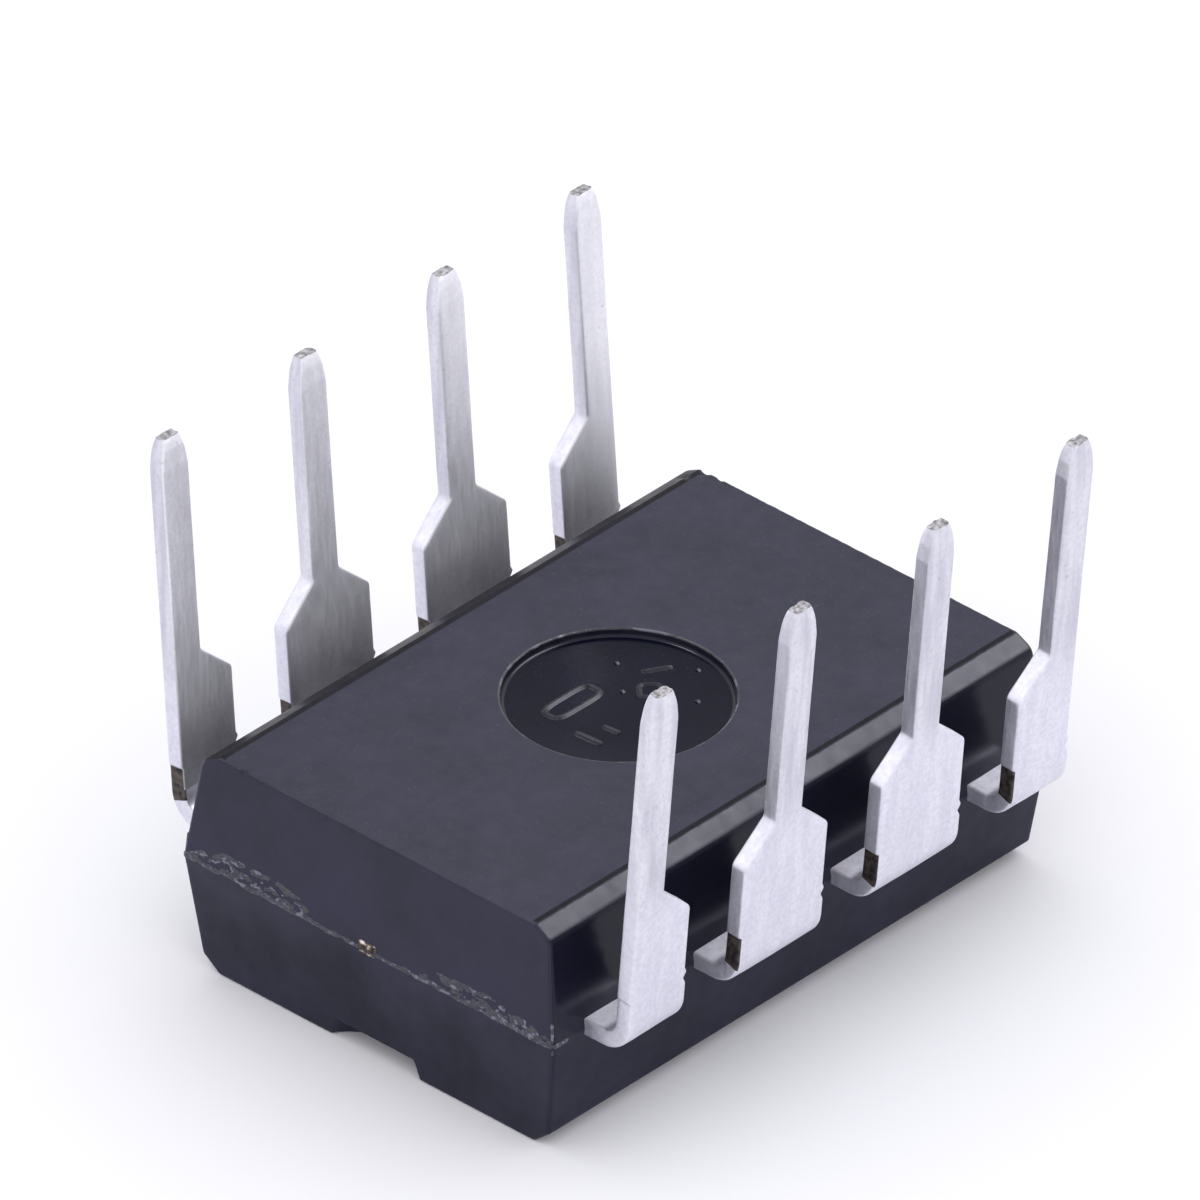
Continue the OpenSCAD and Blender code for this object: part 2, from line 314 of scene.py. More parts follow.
class Graph:
    """A material's node tree, with short ways to add nodes to it."""

    def __init__(self, name: str) -> None:
        """Starts a material that holds one principled shader.

        Args:
            name: Name of the material.
        """
        self.material = bpy.data.materials.new(name)
        self.material.use_nodes = True
        self.tree = self.material.node_tree
        self.shader = self.tree.nodes["Principled BSDF"]
        self.place = self.tree.nodes.new("ShaderNodeTexCoord").outputs["Object"]

    def add(self, kind: str, inputs: dict, **settings: object) -> Node:
        """Adds a node and fills or joins its inputs.

        Args:
            kind: Blender's name for the node.
            inputs: A value, or another node's output, for each input.
            settings: The node's own settings.

        Returns:
            The new node.
        """
        node = self.tree.nodes.new(kind)
        for key, value in settings.items():
            setattr(node, key, value)
        for key, value in inputs.items():
            if isinstance(value, NodeSocket):
                self.tree.links.new(value, node.inputs[key])
            else:
                node.inputs[key].default_value = value
        return node

    def stretched(self, scale: tuple) -> NodeSocket:
        """Object coordinates multiplied along each axis.

        Args:
            scale: Multiplier along X, Y and Z.

        Returns:
            The coordinates' output.
        """
        return self.add("ShaderNodeMapping", {"Vector": self.place, "Scale": scale}).outputs["Vector"]

    def noise(self, cell: float, detail: float, place: NodeSocket | None = None) -> NodeSocket:
        """Cloudy noise with clouds about as large as a length.

        Args:
            cell: Size of the clouds, in metres.
            detail: Number of finer layers.
            place: Coordinates, or none for the object's own.

        Returns:
            The noise's output, about 0.5 in its middle.
        """
        inputs = {"Vector": place or self.place, "Scale": 1 / cell, "Detail": detail}
        return self.add("ShaderNodeTexNoise", inputs).outputs["Fac"]

    def grade(self, value: NodeSocket, low: float, high: float, start: float, stop: float) -> NodeSocket:
        """Maps low..high of a value to start..stop, and holds it there outside.

        Args:
            value: Output to grade.
            low: Value that gives start.
            high: Value that gives stop.
            start: First result.
            stop: Last result.

        Returns:
            The graded output.
        """
        inputs = {"Value": value, "From Min": low, "From Max": high, "To Min": start, "To Max": stop}
        return self.add("ShaderNodeMapRange", inputs).outputs["Result"]

    def clouds(self, cell: float, detail: float, place: NodeSocket | None = None) -> NodeSocket:
        """Noise of one size, spread out until it fills 0 to 1."""
        return self.grade(self.noise(cell, detail, place), 0.35, 0.65, 0, 1)

    def around(self, value: NodeSocket, middle: float, swing: float) -> NodeSocket:
        """A number that follows noise to either side of its middle, by a share of it."""
        return self.grade(value, 0.3, 0.7, middle * (1 - swing), middle * (1 + swing))

    def stained(self, base: NodeSocket, colour: Colour, stain: Stain) -> NodeSocket:
        """Lays stains of one colour over another.

        Args:
            base: The colour below.
            colour: The stains' colour.
            stain: Their size and strength.

        Returns:
            The mixed colour's output.
        """
        share = self.grade(self.noise(stain.cell, stain.detail), stain.start, stain.stop, 0, stain.most)
        return self.blend(share, base, colour)

    def blend(self, share: NodeSocket, first: object, second: object) -> NodeSocket:
        """Mixes two colours.

        Args:
            share: How much of the second colour shows.
            first: A colour or a colour output.
            second: A colour or a colour output.

        Returns:
            The mixed colour's output.
        """
        node = self.add("ShaderNodeMix", {}, data_type="RGBA")
        for key, value in (("Factor", share), ("A", first), ("B", second)):
            socket = next(s for s in node.inputs if s.name == key and (key == "Factor" or s.type == "RGBA"))
            if isinstance(value, NodeSocket):
                self.tree.links.new(value, socket)
            else:
                socket.default_value = (*value, 1)
        return next(s for s in node.outputs if s.type == "RGBA")

    def bump(self, height: NodeSocket, depth: float, under: object = None) -> NodeSocket:
        """Raises the surface by a height output.

        Args:
            height: Output from 0 to 1.
            depth: Height in metres of the value 1.
            under: Normal of another bump below it, or none.

        Returns:
            The normal's output.
        """
        inputs = {"Height": height, "Distance": depth, "Strength": 1.0}
        if under is not None:
            inputs["Normal"] = under
        return self.add("ShaderNodeBump", inputs).outputs["Normal"]

    def finish(self, **inputs: object) -> Material:
        """Fills or joins the shader's inputs.

        Args:
            inputs: A value or an output for each, with _ for a space in its name.

        Returns:
            The finished material.
        """
        for key, value in inputs.items():
            socket = self.shader.inputs[key.replace("_", " ")]
            if isinstance(value, NodeSocket):
                self.tree.links.new(value, socket)
            else:
                socket.default_value = (*value, 1) if isinstance(value, tuple) else value
        return self.material


@dataclass(frozen=True)
class EpoxyFinish:
    """Filled epoxy as the mould leaves it.

    Attributes:
        name: Name of the material.
        colour: Colour of the epoxy.
        cloud: Second colour, that shows in faint clouds.
        roughness: Roughness in its middle.
        gloss: Specular level, the same all over.
        spark: Depth in metres of the mould's spark-eroded grain.
        specks: Noise above its middle at which pale filler specks begin.
        cell: Size in metres of the clouds.
        speck: Colour of the specks.
        shine: Tint of what the epoxy reflects.
    """

    name: str
    colour: Colour
    cloud: Colour
    roughness: float
    gloss: float
    spark: float
    specks: float
    cell: float = 0.9 * MM
    speck: Colour = (0.13, 0.13, 0.15)
    shine: Colour = (0.90, 0.90, 1.0)

    def build(self) -> Material:
        """Makes the material.

        Returns:
            The finished material.
        """
        graph = Graph(self.name)
        base = graph.blend(graph.clouds(self.cell, 4), self.colour, self.cloud)
        specks = Stain(0.035 * MM, 1, 0.5 + self.specks, 0.58 + self.specks, 0.22)
        base = graph.stained(base, self.speck, specks)
        grain = graph.noise(0.022 * MM, 3)
        dents = graph.bump(graph.noise(0.11 * MM, 2), self.spark * 1.5)
        rough = graph.around(graph.noise(0.25 * MM, 3), self.roughness, 0.12)
        return graph.finish(Base_Color=base, Roughness=rough, Specular_IOR_Level=self.gloss,
                            Specular_Tint=self.shine, Normal=graph.bump(grain, self.spark, dents))


@dataclass(frozen=True)
class TornFinish:
    """A torn edge that glints: dark stuff with pale and brown crumbs in it. On the recess rim the pale crumbs
    are a painted highlight.

    Attributes:
        name: Name of the material.
        colour: Colour of the dark stuff.
        pale: Colour of the pale crumbs.
        brown: Colour of the brown crumbs.
        cell: Size in metres of the crumbs.
        spread: Noise above its middle at which pale crumbs begin.
        metallic: 1 for bare metal.
    """

    name: str
    colour: Colour
    pale: Colour
    brown: Colour
    cell: float
    spread: float
    metallic: float = 0.0

    def build(self) -> Material:
        """Makes the material.

        Returns:
            The finished material.
        """
        graph = Graph(self.name)
        crumbs = graph.noise(self.cell, 4, graph.stretched((1, 0.55, 1)))
        low = graph.grade(crumbs, 0.48 - self.spread, 0.40 - self.spread, 0, 1)
        high = graph.grade(crumbs, 0.52 + self.spread, 0.60 + self.spread, 0, 1)
        base = graph.blend(high, graph.blend(low, self.colour, self.brown), self.pale)
        rough = graph.grade(graph.noise(self.cell * 2, 2), 0.35, 0.65, 0.25, 0.6)
        return graph.finish(Base_Color=base, Roughness=rough, Metallic=self.metallic, Specular_IOR_Level=0.6,
                            Normal=graph.bump(crumbs, self.cell * 0.25))


@dataclass(frozen=True)
class TinFinish:
    """Matte tin plate over rolled strip.

    Attributes:
        name: Name of the material.
        colour: Colour of the bright plate.
        shade: Colour of its duller lengthwise bands.
        roughness: Roughness in its middle.
        roll: Depth in metres of the strip's lengthwise rolling marks.
        metallic: How much of the plate shines as bare metal does.
        root: Brightness near the body against that of the pins: below 1 a painted shade, the dark body
            reflected in faces turned to it; above 1 the plate is brighter near the body.
        root_z: Heights between which the brightness changes.
        fleck: Fine dull flecks.
        scuff: Marks of handling.
        grit: Dust and stains.
    """

    name: str
    colour: Colour
    shade: Colour
    roughness: float
    roll: float
    metallic: float
    root: float
    root_z: Point = (2.6 * MM, 5.0 * MM)
    fleck: Stain = Stain(0.05 * MM, 3, 0.58, 0.70, 0.10)
    scuff: Stain = Stain(0.10 * MM, 5, 0.66, 0.72, 0.42)
    grit: Stain = Stain(0.06 * MM, 5, 0.40, 0.66, 0.30)

    def build(self) -> Material:
        """Makes the material.

        Returns:
            The finished material.
        """
        graph = Graph(self.name)
        long_way = graph.stretched((1, 1, 0.1))
        streaks = graph.noise(0.045 * MM, 3, long_way)
        bands = graph.clouds(0.16 * MM, 3, long_way)
        base = graph.blend(bands, self.colour, self.shade)
        for stain in (self.fleck, self.scuff):
            base = graph.stained(base, scaled(self.shade, 0.6), stain)
        height = graph.add("ShaderNodeSeparateXYZ", {"Vector": graph.place}).outputs["Z"]
        # Near the body the colour is scaled by root: below 1 a painted shade, above 1 brighter
        near_body = graph.grade(height, *self.root_z, 1, 0)
        near_tones = [scaled(tone, self.root) for tone in (self.colour, self.shade)]
        base = graph.blend(near_body, base, graph.blend(graph.grade(bands, 0, 1, 0.55, 0.9), *near_tones))
        base = graph.stained(base, scaled(self.shade, 0.8), self.grit)
        rough = graph.around(streaks, self.roughness, 0.15)
        normal = graph.bump(streaks, self.roll)
        normal = graph.bump(graph.noise(0.03 * MM, 3), 0.0008 * MM, normal)
        return graph.finish(Base_Color=base, Roughness=rough, Metallic=self.metallic, Normal=normal)


@dataclass(frozen=True)
class MetalFinish:
    """A plain metal with a mottled colour and a fine grain.

    Attributes:
        name: Name of the material.
        colour: Main colour.
        second: Colour of its stains.
        roughness: Roughness in its middle.
        cell: Size in metres of its stains.
        grain: Depth in metres of its grain.
        metallic: 1 for bare metal, less where an oxide covers it.
    """

    name: str
    colour: Colour
    second: Colour
    roughness: float
    cell: float
    grain: float
    metallic: float = 1.0

    def build(self) -> Material:
        """Makes the material.

        Returns:
            The finished material.
        """
        graph = Graph(self.name)
        base = graph.blend(graph.clouds(self.cell, 4), self.colour, self.second)
        fine = graph.noise(self.cell * 0.15, 3)
        rough = graph.around(fine, self.roughness, 0.2)
        return graph.finish(Base_Color=base, Roughness=rough, Metallic=self.metallic,
                            Normal=graph.bump(fine, self.grain))


@dataclass(frozen=True)
class Palette:
    """Every finish of the chip, made once."""

    face: Material
    end: Material
    flank: Material
    recess: Material
    edge: Material
    end_low: Material
    flank_low: Material
    rim: Material
    relief: Material
    bevel: Material
    flash: Material
    tin: Material
    tin_inner: Material
    sheared: Material
    cropped: Material
    torn: Material
    copper: Material
    paste: Material
    silicon: Material
    gold: Material

    @classmethod
    def mix(cls) -> "Palette":
        """Makes all the materials.

        Returns:
            The palette.
        """
        return cls(
            face=EpoxyFinish("epoxy_spark_eroded", (0.027, 0.027, 0.050), (0.022, 0.022, 0.041),
                             roughness=0.62, gloss=0.28, spark=0.0016 * MM, specks=0.17).build(),
            end=EpoxyFinish("epoxy_end_wall", (0.014, 0.013, 0.035), (0.008, 0.008, 0.022), roughness=0.42,
                            gloss=0.34, spark=0.0008 * MM, specks=0.24, cell=1.3 * MM).build(),
            flank=EpoxyFinish("epoxy_polished", (0.006, 0.006, 0.016), (0.004, 0.005, 0.012),
                              roughness=0.18, gloss=0.25, spark=0.0002 * MM, specks=0.26).build(),
            recess=EpoxyFinish("epoxy_recess", (0.003, 0.004, 0.014), (0.002, 0.003, 0.010), roughness=0.18,
                               gloss=0.08, spark=0.0005 * MM, specks=0.22, cell=0.5 * MM).build(),
            # Dark edge strip and far bevel: painted shade
            edge=EpoxyFinish("epoxy_edge_painted_shade", (0.004, 0.004, 0.007), (0.007, 0.007, 0.012), roughness=0.35,
                             gloss=0.10, spark=0.0004 * MM, specks=0.26, cell=0.3 * MM).build(),
            end_low=EpoxyFinish("epoxy_end_wall_low", (0.015, 0.014, 0.034), (0.002, 0.002, 0.012),
                                roughness=0.42, gloss=0.26, spark=0.0008 * MM, specks=0.24,
                                cell=1.2 * MM).build(),
            flank_low=EpoxyFinish("epoxy_polished_low", (0.013, 0.013, 0.030), (0.007, 0.007, 0.019),
                                  roughness=0.42, gloss=0.17, spark=0.0004 * MM, specks=0.26).build(),
            # Recess rim: the pale crumbs are a painted highlight
            rim=TornFinish("epoxy_rim_painted_highlight", (0.010, 0.011, 0.020), pale=(0.10, 0.10, 0.13),
                           brown=(0.02, 0.02, 0.03), cell=0.20 * MM, spread=0.02).build(),
            # Marks lighter than the recess floor: a painted sheen
            relief=EpoxyFinish("epoxy_relief_painted_sheen", (0.014, 0.015, 0.023), (0.003, 0.004, 0.009), roughness=0.34,
                               gloss=0.27, spark=0.0012 * MM, specks=0.10, cell=0.20 * MM).build(),
            bevel=EpoxyFinish("epoxy_bevel", (0.013, 0.013, 0.028), (0.009, 0.009, 0.019), roughness=0.36,
                              gloss=0.30, spark=0.0008 * MM, specks=0.22, cell=0.4 * MM).build(),
            flash=TornFinish("epoxy_flash", (0.018, 0.019, 0.038), pale=(0.135, 0.140, 0.185),
                             brown=(0.040, 0.035, 0.040), cell=0.060 * MM, spread=0.02).build(),
            tin=TinFinish("tin_plate", (0.75, 0.745, 0.81), (0.59, 0.585, 0.665), roughness=0.45,
                          roll=0.0008 * MM, metallic=0.86, root=1.20, root_z=(3.5 * MM, 4.3 * MM)).build(),
            # Faces turned to the body: darker near it, a painted shade of the body's reflection
            tin_inner=TinFinish("tin_plate_inner_painted_shade", (0.84, 0.835, 0.89), (0.75, 0.745, 0.80), roughness=0.48,
                                roll=0.0006 * MM, metallic=0.62, root=0.52).build(),
            sheared=MetalFinish("sheared_copper", (0.110, 0.086, 0.078), (0.018, 0.015, 0.016),
                                roughness=0.45, cell=0.09 * MM, grain=0.006 * MM, metallic=0.7).build(),
            cropped=MetalFinish("cropped_tip", (0.44, 0.43, 0.45), (0.15, 0.145, 0.15), roughness=0.5,
                                cell=0.07 * MM, grain=0.010 * MM, metallic=0.8).build(),
            torn=TornFinish("torn_copper", (0.09, 0.06, 0.045), pale=(0.55, 0.51, 0.46),
                            brown=(0.03, 0.02, 0.016), cell=0.07 * MM, spread=0.0, metallic=0.8).build(),
            copper=MetalFinish("rolled_copper", (0.72, 0.45, 0.32), (0.60, 0.36, 0.25), roughness=0.38,
                               cell=0.4 * MM, grain=0.001 * MM).build(),
            paste=MetalFinish("silver_paste", (0.62, 0.62, 0.60), (0.45, 0.45, 0.44), roughness=0.6,
                              cell=0.08 * MM, grain=0.003 * MM, metallic=0.6).build(),
            silicon=MetalFinish("silicon_chip", (0.20, 0.22, 0.30), (0.28, 0.25, 0.34), roughness=0.18,
                                cell=0.2 * MM, grain=0.0003 * MM, metallic=0.8).build(),
            gold=MetalFinish("gold_wire", (0.95, 0.70, 0.28), (0.90, 0.62, 0.22), roughness=0.25,
                             cell=0.05 * MM, grain=0.0003 * MM).build(),
        )


def dress(piece: Object, finishes: list[Material], numbers: object = 0) -> None:
    """Gives a piece its finishes.

    Args:
        piece: The piece.
        finishes: Its materials.
        numbers: Which of them each face has: one number for all faces, or one for each.
    """
    for finish in finishes:
        piece.data.materials.append(finish)
    faces = piece.data.polygons
    faces.foreach_set("material_index", np.broadcast_to(numbers, len(faces)).tolist())


def seat(piece: Object, slot: Slot, *nodes: str) -> None:
    """Puts a piece on the fixed frame in place of its CAD nodes.

    Args:
        piece: The piece.
        slot: Its material slot in the record; not used.
        nodes: The CAD nodes that it stands for.
    """
    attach(piece, "root")
    if nodes:
        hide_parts(*nodes)
    LOG.info("%s: %d faces, stands for %s", piece.name, len(piece.data.polygons), nodes or "itself")


# ---------------------------------------------------------------- moulded body


@dataclass(frozen=True)
class Relief:
    """One plain raised mark in the recess: a straight stroke, or a closed loop.

    Attributes:
        middle: Its middle, in millimetres.
        half: Half its length and half its width along its line, in millimetres.
        lean: Its turn about the middle, in degrees.
        line: Half the width of its line, in millimetres.
    """

    middle: Point
    half: Point
    lean: float = 0
    line: float = 0.04

    def track(self) -> np.ndarray:
        """Works out the mark's line.

        Returns:
            Points along it in metres, one row each.
        """
        if self.half[1] == 0:
            reach = np.linspace(-self.half[0], self.half[0], 24)
            local = np.column_stack([reach, np.zeros_like(reach)])
        else:
            turn = np.linspace(0, 2 * math.pi, 64, endpoint=False)
            way = np.column_stack([np.cos(turn), np.sin(turn)])
            local = np.sign(way) * np.sqrt(np.abs(way)) * self.half
        lean = math.radians(self.lean)
        turned = local @ np.array([[math.cos(lean), math.sin(lean)], [-math.sin(lean), math.cos(lean)]])
        return np.column_stack([turned + self.middle, np.zeros(len(local))]) * MM

    def build(self, name: str, floor: float) -> Object:
        """Builds the mark as a softly rounded ridge.

        Args:
            name: Name of the object.
            floor: Height of the recess's floor.

        Returns:
            The new object.
        """
        track, closed = self.track(), self.half[1] > 0
        count, across = len(track), np.linspace(-1, 1, 13)
        ahead = np.roll(track, -1, 0) - np.roll(track, 1, 0) if closed else np.gradient(track, axis=0)
        aside = np.cross(ahead / np.linalg.norm(ahead, axis=1)[:, None], (0, 0, 1))
        ends = np.ones(count) if closed else np.sqrt(1.02 - np.linspace(-1, 1, count) ** 8)
        reach, rise = ends * self.line * MM, ends * self.line * 0.6 * MM
        arch = [(w, math.cos(w * math.pi / 2) ** 1.4) for w in across]
        rings = [track + aside * (w * reach)[:, None] + np.outer(rise, (0, 0, up)) for w, up in arch]
        rings += [track + aside * (w * reach)[:, None] - (0, 0, 0.01 * MM) for w in (1, -1)]
        points = (np.stack(rings, 1) + (0, 0, floor)).reshape(-1, 3)
        return make_piece(name, points, loft_faces(count, len(rings), closed), 80)


# Two loops, three strokes and five pips
RELIEF = (
    Relief((-0.40, 0.42), (0.42, 0.15), 0, 0.05),
    Relief((0.46, -0.12), (0.14, 0.14), 45),
    Relief((-0.86, -0.28), (0.22, 0), 95, 0.06),
    Relief((-0.52, -0.36), (0.14, 0), 95, 0.05),
    Relief((0.86, 0.14), (0.22, 0), 150, 0.05),
    Relief((0.20, 0.12), (0.03, 0)),
    Relief((0.68, -0.72), (0.03, 0)),
    Relief((1.20, -0.25), (0.03, 0)),
    Relief((0.05, -0.62), (0.03, 0)),
    Relief((0.62, 0.60), (0.03, 0)),
)


@dataclass
class MouldedBody:
    """The epoxy body: a drafted block with bevelled long edges, a notch and a round recess.

    Attributes:
        parting_z: Height of the parting line.
        side_draft: Lean of the long walls.
        end_draft: Lean of the end walls.
        top_bevel: Width and height of the bevels along the top face.
        under_bevel: Width and height of the bevels along the underside.
        flash_room: Length left at each end for the flash.
        corner_r: Radius of the upright corners.
        side_radii: Radii round the side's profile, from the top face up to the underside.
        end_radii: The same for the end's profile.
        notch_w: Width of the notch in the end wall.
        notch_depth: How far the notch reaches into the top face.
        notch_h: Height of the notch.
        notch_draft: Lean of the notch's wall.
        recess_r: Radius of the round recess.
        recess_depth: Its depth.
        rim_r: Radius of its rim.
        foot_r: Radius round its floor.
        strip_w: Width of the smooth strip between the underside's grain and its bevels, which carries a
            painted shade.
        section: Outline of the body from above.
        low: Lowest corner of the body's box.
        high: Highest corner of it.
    """

    parting_z: float = 1.70 * MM
    side_draft: float = math.radians(7.5)
    end_draft: float = math.radians(5.5)
    top_bevel: Point = (0.24 * MM, 0.23 * MM)
    under_bevel: Point = (0.24 * MM, 0.15 * MM)
    flash_room: float = 0.02 * MM
    corner_r: float = 0.05 * MM
    side_radii: tuple[float, ...] = (0.06 * MM, 0.08 * MM, 0.01 * MM, 0.16 * MM, 0.06 * MM)
    end_radii: tuple[float, ...] = (0.05 * MM, 0.01 * MM, 0.03 * MM)
    notch_w: float = 1.53 * MM
    notch_depth: float = 0.44 * MM
    notch_h: float = 0.30 * MM
    notch_draft: float = math.radians(15)
    recess_r: float = 1.49 * MM
    recess_depth: float = 0.11 * MM
    rim_r: float = 0.030 * MM
    foot_r: float = 0.045 * MM
    strip_w: float = 0.07 * MM
    section: Section = Section(190, 210, 5)
    low: Vector = field(init=False)
    high: Vector = field(init=False)

    def __post_init__(self) -> None:
        """Takes the body's overall size from its CAD node."""
        self.low, self.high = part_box("body")

    @property
    def half_l(self) -> float:
        """Half the length at the parting line, less the room that the flash takes."""
        return self.high.x - self.flash_room

    @property
    def half_w(self) -> float:
        """Half the width at the parting line."""
        return self.high.y

    @property
    def height(self) -> float:
        """Thickness of the body."""
        return self.high.z

    def lean(self, z: float, draft: float) -> float:
        """Inward lean of a drafted wall at a height."""
        return abs(z - self.parting_z) * math.tan(draft)

    def side_profile(self) -> np.ndarray:
        """Works out the long walls, with their corners rounded.

        Returns:
            Rows of half width and height, from the top face up.
        """
        low_w, low_h = self.top_bevel
        high_w, high_h = self.under_bevel
        foot = self.half_w - self.lean(0, self.side_draft) - low_w
        head = self.half_w - self.lean(self.height, self.side_draft) - high_w
        line = [(foot - low_w, 0), (foot, 0), (self.half_w - self.lean(low_h, self.side_draft), low_h),
                (self.half_w, self.parting_z),
                (self.half_w - self.lean(self.height - high_h, self.side_draft), self.height - high_h),
                (head, self.height), (head - high_w, self.height)]
        return rounded(line, self.side_radii, 8)[1:-1]

    def end_profile(self) -> np.ndarray:
        """Works out the end walls, with their corners rounded.

        Returns:
            Rows of half length and height, from the top face up.
        """
        foot = self.half_l - self.lean(0, self.end_draft)
        head = self.half_l - self.lean(self.height, self.end_draft)
        line = [(foot - 0.2 * MM, 0), (foot, 0), (self.half_l, self.parting_z), (head, self.height),
                (head - 0.2 * MM, self.height)]
        return rounded(line, self.end_radii, 6)[1:-1]

    def wall_rings(self) -> list[tuple[float, float, float]]:
        """Rings of the outer wall, from the top face up to the underside.

        Returns:
            Half length, half width and height of each ring.
        """
        side, end = self.side_profile(), self.end_profile()
        levels = sorted(set(np.round(np.concatenate([side[:, 1], end[:, 1]]), 9)))
        return [(np.interp(z, end[:, 1], end[:, 0]), np.interp(z, side[:, 1], side[:, 0]), z) for z in levels]

    def recess_profile(self) -> np.ndarray:
        """Works out the recess, from its rim down to its floor and in to its middle.

        Returns:
            Rows of radius and height.
        """
        floor = self.height - self.recess_depth
        line = [(self.recess_r + 2.5 * self.rim_r, self.height), (self.recess_r, self.height),
                (self.recess_r - 0.02 * MM, floor), (0.5 * self.recess_r, floor), (0.02 * MM, floor)]
        return rounded(line, (self.rim_r, self.foot_r, 0), 5)

    def shell(self) -> tuple[np.ndarray, Faces, list[int]]:
        """The closed outer skin, before the notch is cut.

        Returns:
            Points, faces, and the zone number of each face.
        """
        inner, outward = self.section.template()
        size = len(inner)
        on_end = np.abs(outward[:, 0]) > 0.7
        far_side = outward[:, 1] > 0.7
        all_face = np.full(size, Zone.FACE.value)
        wall = np.where(on_end, Zone.END.value, Zone.FLANK.value)
        low_wall = np.where(on_end, Zone.END_LOW.value, Zone.FLANK_LOW.value)
        # The far bevel and the strip along the long bevels are darkened with painted shade
        bevel = np.where(far_side, Zone.EDGE.value, np.where(on_end, Zone.END.value, Zone.BEVEL.value))
        strip = np.where(on_end, Zone.FACE.value, Zone.EDGE.value)
        walls = self.wall_rings()
        rings, zones = [], []

        def flat(share: float, z: float, hole: np.ndarray, edge: np.ndarray) -> np.ndarray:
            """A ring between the edge of a flat face and a round line inside it."""
            return np.column_stack([edge * (1 - share) + hole * share, np.full(len(edge), z)])

        last = walls[-1]
        edge_low = self.section.ring(walls[0][:2], self.corner_r)
        edge_high = self.section.ring((last[0] - 0.003 * MM, last[1] - self.strip_w), self.corner_r)
        round_way = edge_high / np.linalg.norm(edge_high, axis=1)[:, None]
        # Each flat face has rings at these shares of the way in from its edge
        for share in (0.995, 0.6, 0.3, 0.02):
            rings.append(flat(share, 0.0, np.zeros_like(edge_low), edge_low))
            zones.append(all_face)
        for half_l, half_w, z in walls:
            outline = self.section.ring((half_l, half_w), self.corner_r)
            rings.append(np.column_stack([outline, np.full(size, z)]))
            low = z < self.parting_z - 1e-6
            zones.append(bevel if z > self.height - self.under_bevel[1] else low_wall if low else wall)
        zones[-1] = strip
        recess = self.recess_profile()
        for share in (0.0, 0.015, 0.1, 0.3, 0.6, 0.9):
            rings.append(flat(share, self.height, round_way * recess[0, 0], edge_high))
            zones.append(all_face)
        for radius, z in recess:
            rings.append(np.column_stack([round_way * radius, np.full(size, z)]))
            outside = radius > self.recess_r + self.rim_r
            at_rim = z > self.height - 0.7 * self.rim_r
            at_wall = z > self.height - self.recess_depth + 1e-7
            # The rim zone's pale crumbs are a painted highlight
            zone = Zone.FACE if outside else Zone.RIM if at_rim else Zone.FLANK if at_wall else Zone.RECESS
            zones.append(np.full(size, zone.value))
        points = np.concatenate(rings)
        self.wear(points)
        numbers = [*np.concatenate(zones[:-1]).tolist(), Zone.FACE.value, Zone.RECESS.value]
        return points, loft_faces(len(rings), size), numbers

    def wear(self, points: np.ndarray) -> None:
        """Makes the moulded edges a little uneven, and nicks them where they were knocked.

        Args:
            points: The skin's points, which are moved in place.
        """
        near_top = fade(points[:, 2], self.height - 0.09 * MM, self.height - 0.005 * MM)
        reach_x = fade(np.abs(points[:, 0]), self.half_l - 0.45 * MM, self.half_l - 0.2 * MM)
        reach_y = fade(np.abs(points[:, 1]), self.half_w - 0.62 * MM, self.half_w - 0.42 * MM)
        edge = near_top * np.maximum(reach_x, reach_y)
        rough = Grain(0.07 * MM, 3).at(points) + 0.7 * Grain(0.03 * MM, 4).at(points)
        points[:, 2] -= edge * 0.0035 * MM * (rough + 1.2)
        head_x = self.half_l - self.lean(self.height, self.end_draft)
        head_y = self.half_w - self.lean(self.height, self.side_draft) - self.under_bevel[0]
        # Place along X and Y of each nick, and its radius
        nicks = [(head_x, head_y - 0.1 * MM, 0.10 * MM), (head_x, head_y - 0.35 * MM, 0.07 * MM),
                 (head_x - 0.25 * MM, head_y + 0.02 * MM, 0.08 * MM),
                 (-head_x, head_y - 0.45 * MM, 0.06 * MM),
                 (-head_x, head_y - 0.8 * MM, 0.05 * MM), (-head_x, head_y - 1.9 * MM, 0.05 * MM),
                 (-head_x, -head_y + 1.2 * MM, 0.04 * MM), (head_x, -1.0 * MM, 0.05 * MM)]
        for x, y, radius in nicks:
            gap = np.linalg.norm(points - np.array([x, y, self.height]), axis=1) / radius
            dip = np.clip(1 - gap * gap, 0, 1) ** 1.5 * radius * 0.32
            points[:, 2] -= dip * (1 + 0.5 * rough)
            points[:, 0] -= np.sign(x) * dip * 0.6

    def cutter(self) -> Object:
        """Makes the cone that cuts the pin 1 notch.

        Returns:
            The cone, which is a tool and no piece of the chip.
        """
        arc_r = (self.notch_w**2 / 4 + self.notch_depth**2) / (2 * self.notch_depth)
        centre_x = self.lean(0, self.end_draft) - self.high.x + self.notch_depth - arc_r
        slope, over = math.tan(self.notch_draft), 0.5 * MM
        line = rounded([(arc_r + over * slope, -over), (arc_r + 0.03 * MM, -0.001 * MM), (arc_r, 0.03 * MM),
                        (arc_r - self.notch_h * slope, self.notch_h), (0.02 * MM, self.notch_h)],
                       (0.02 * MM, 0.02 * MM, 0.04 * MM))
        turn = np.linspace(0, 2 * math.pi, 256, endpoint=False)
        circle = np.column_stack([np.cos(turn), np.sin(turn), np.zeros_like(turn)])
        rings = [circle * radius + (centre_x, 0, z) for radius, z in line]
        return make_piece("notch_cutter", np.concatenate(rings), loft_faces(len(rings), len(turn)))

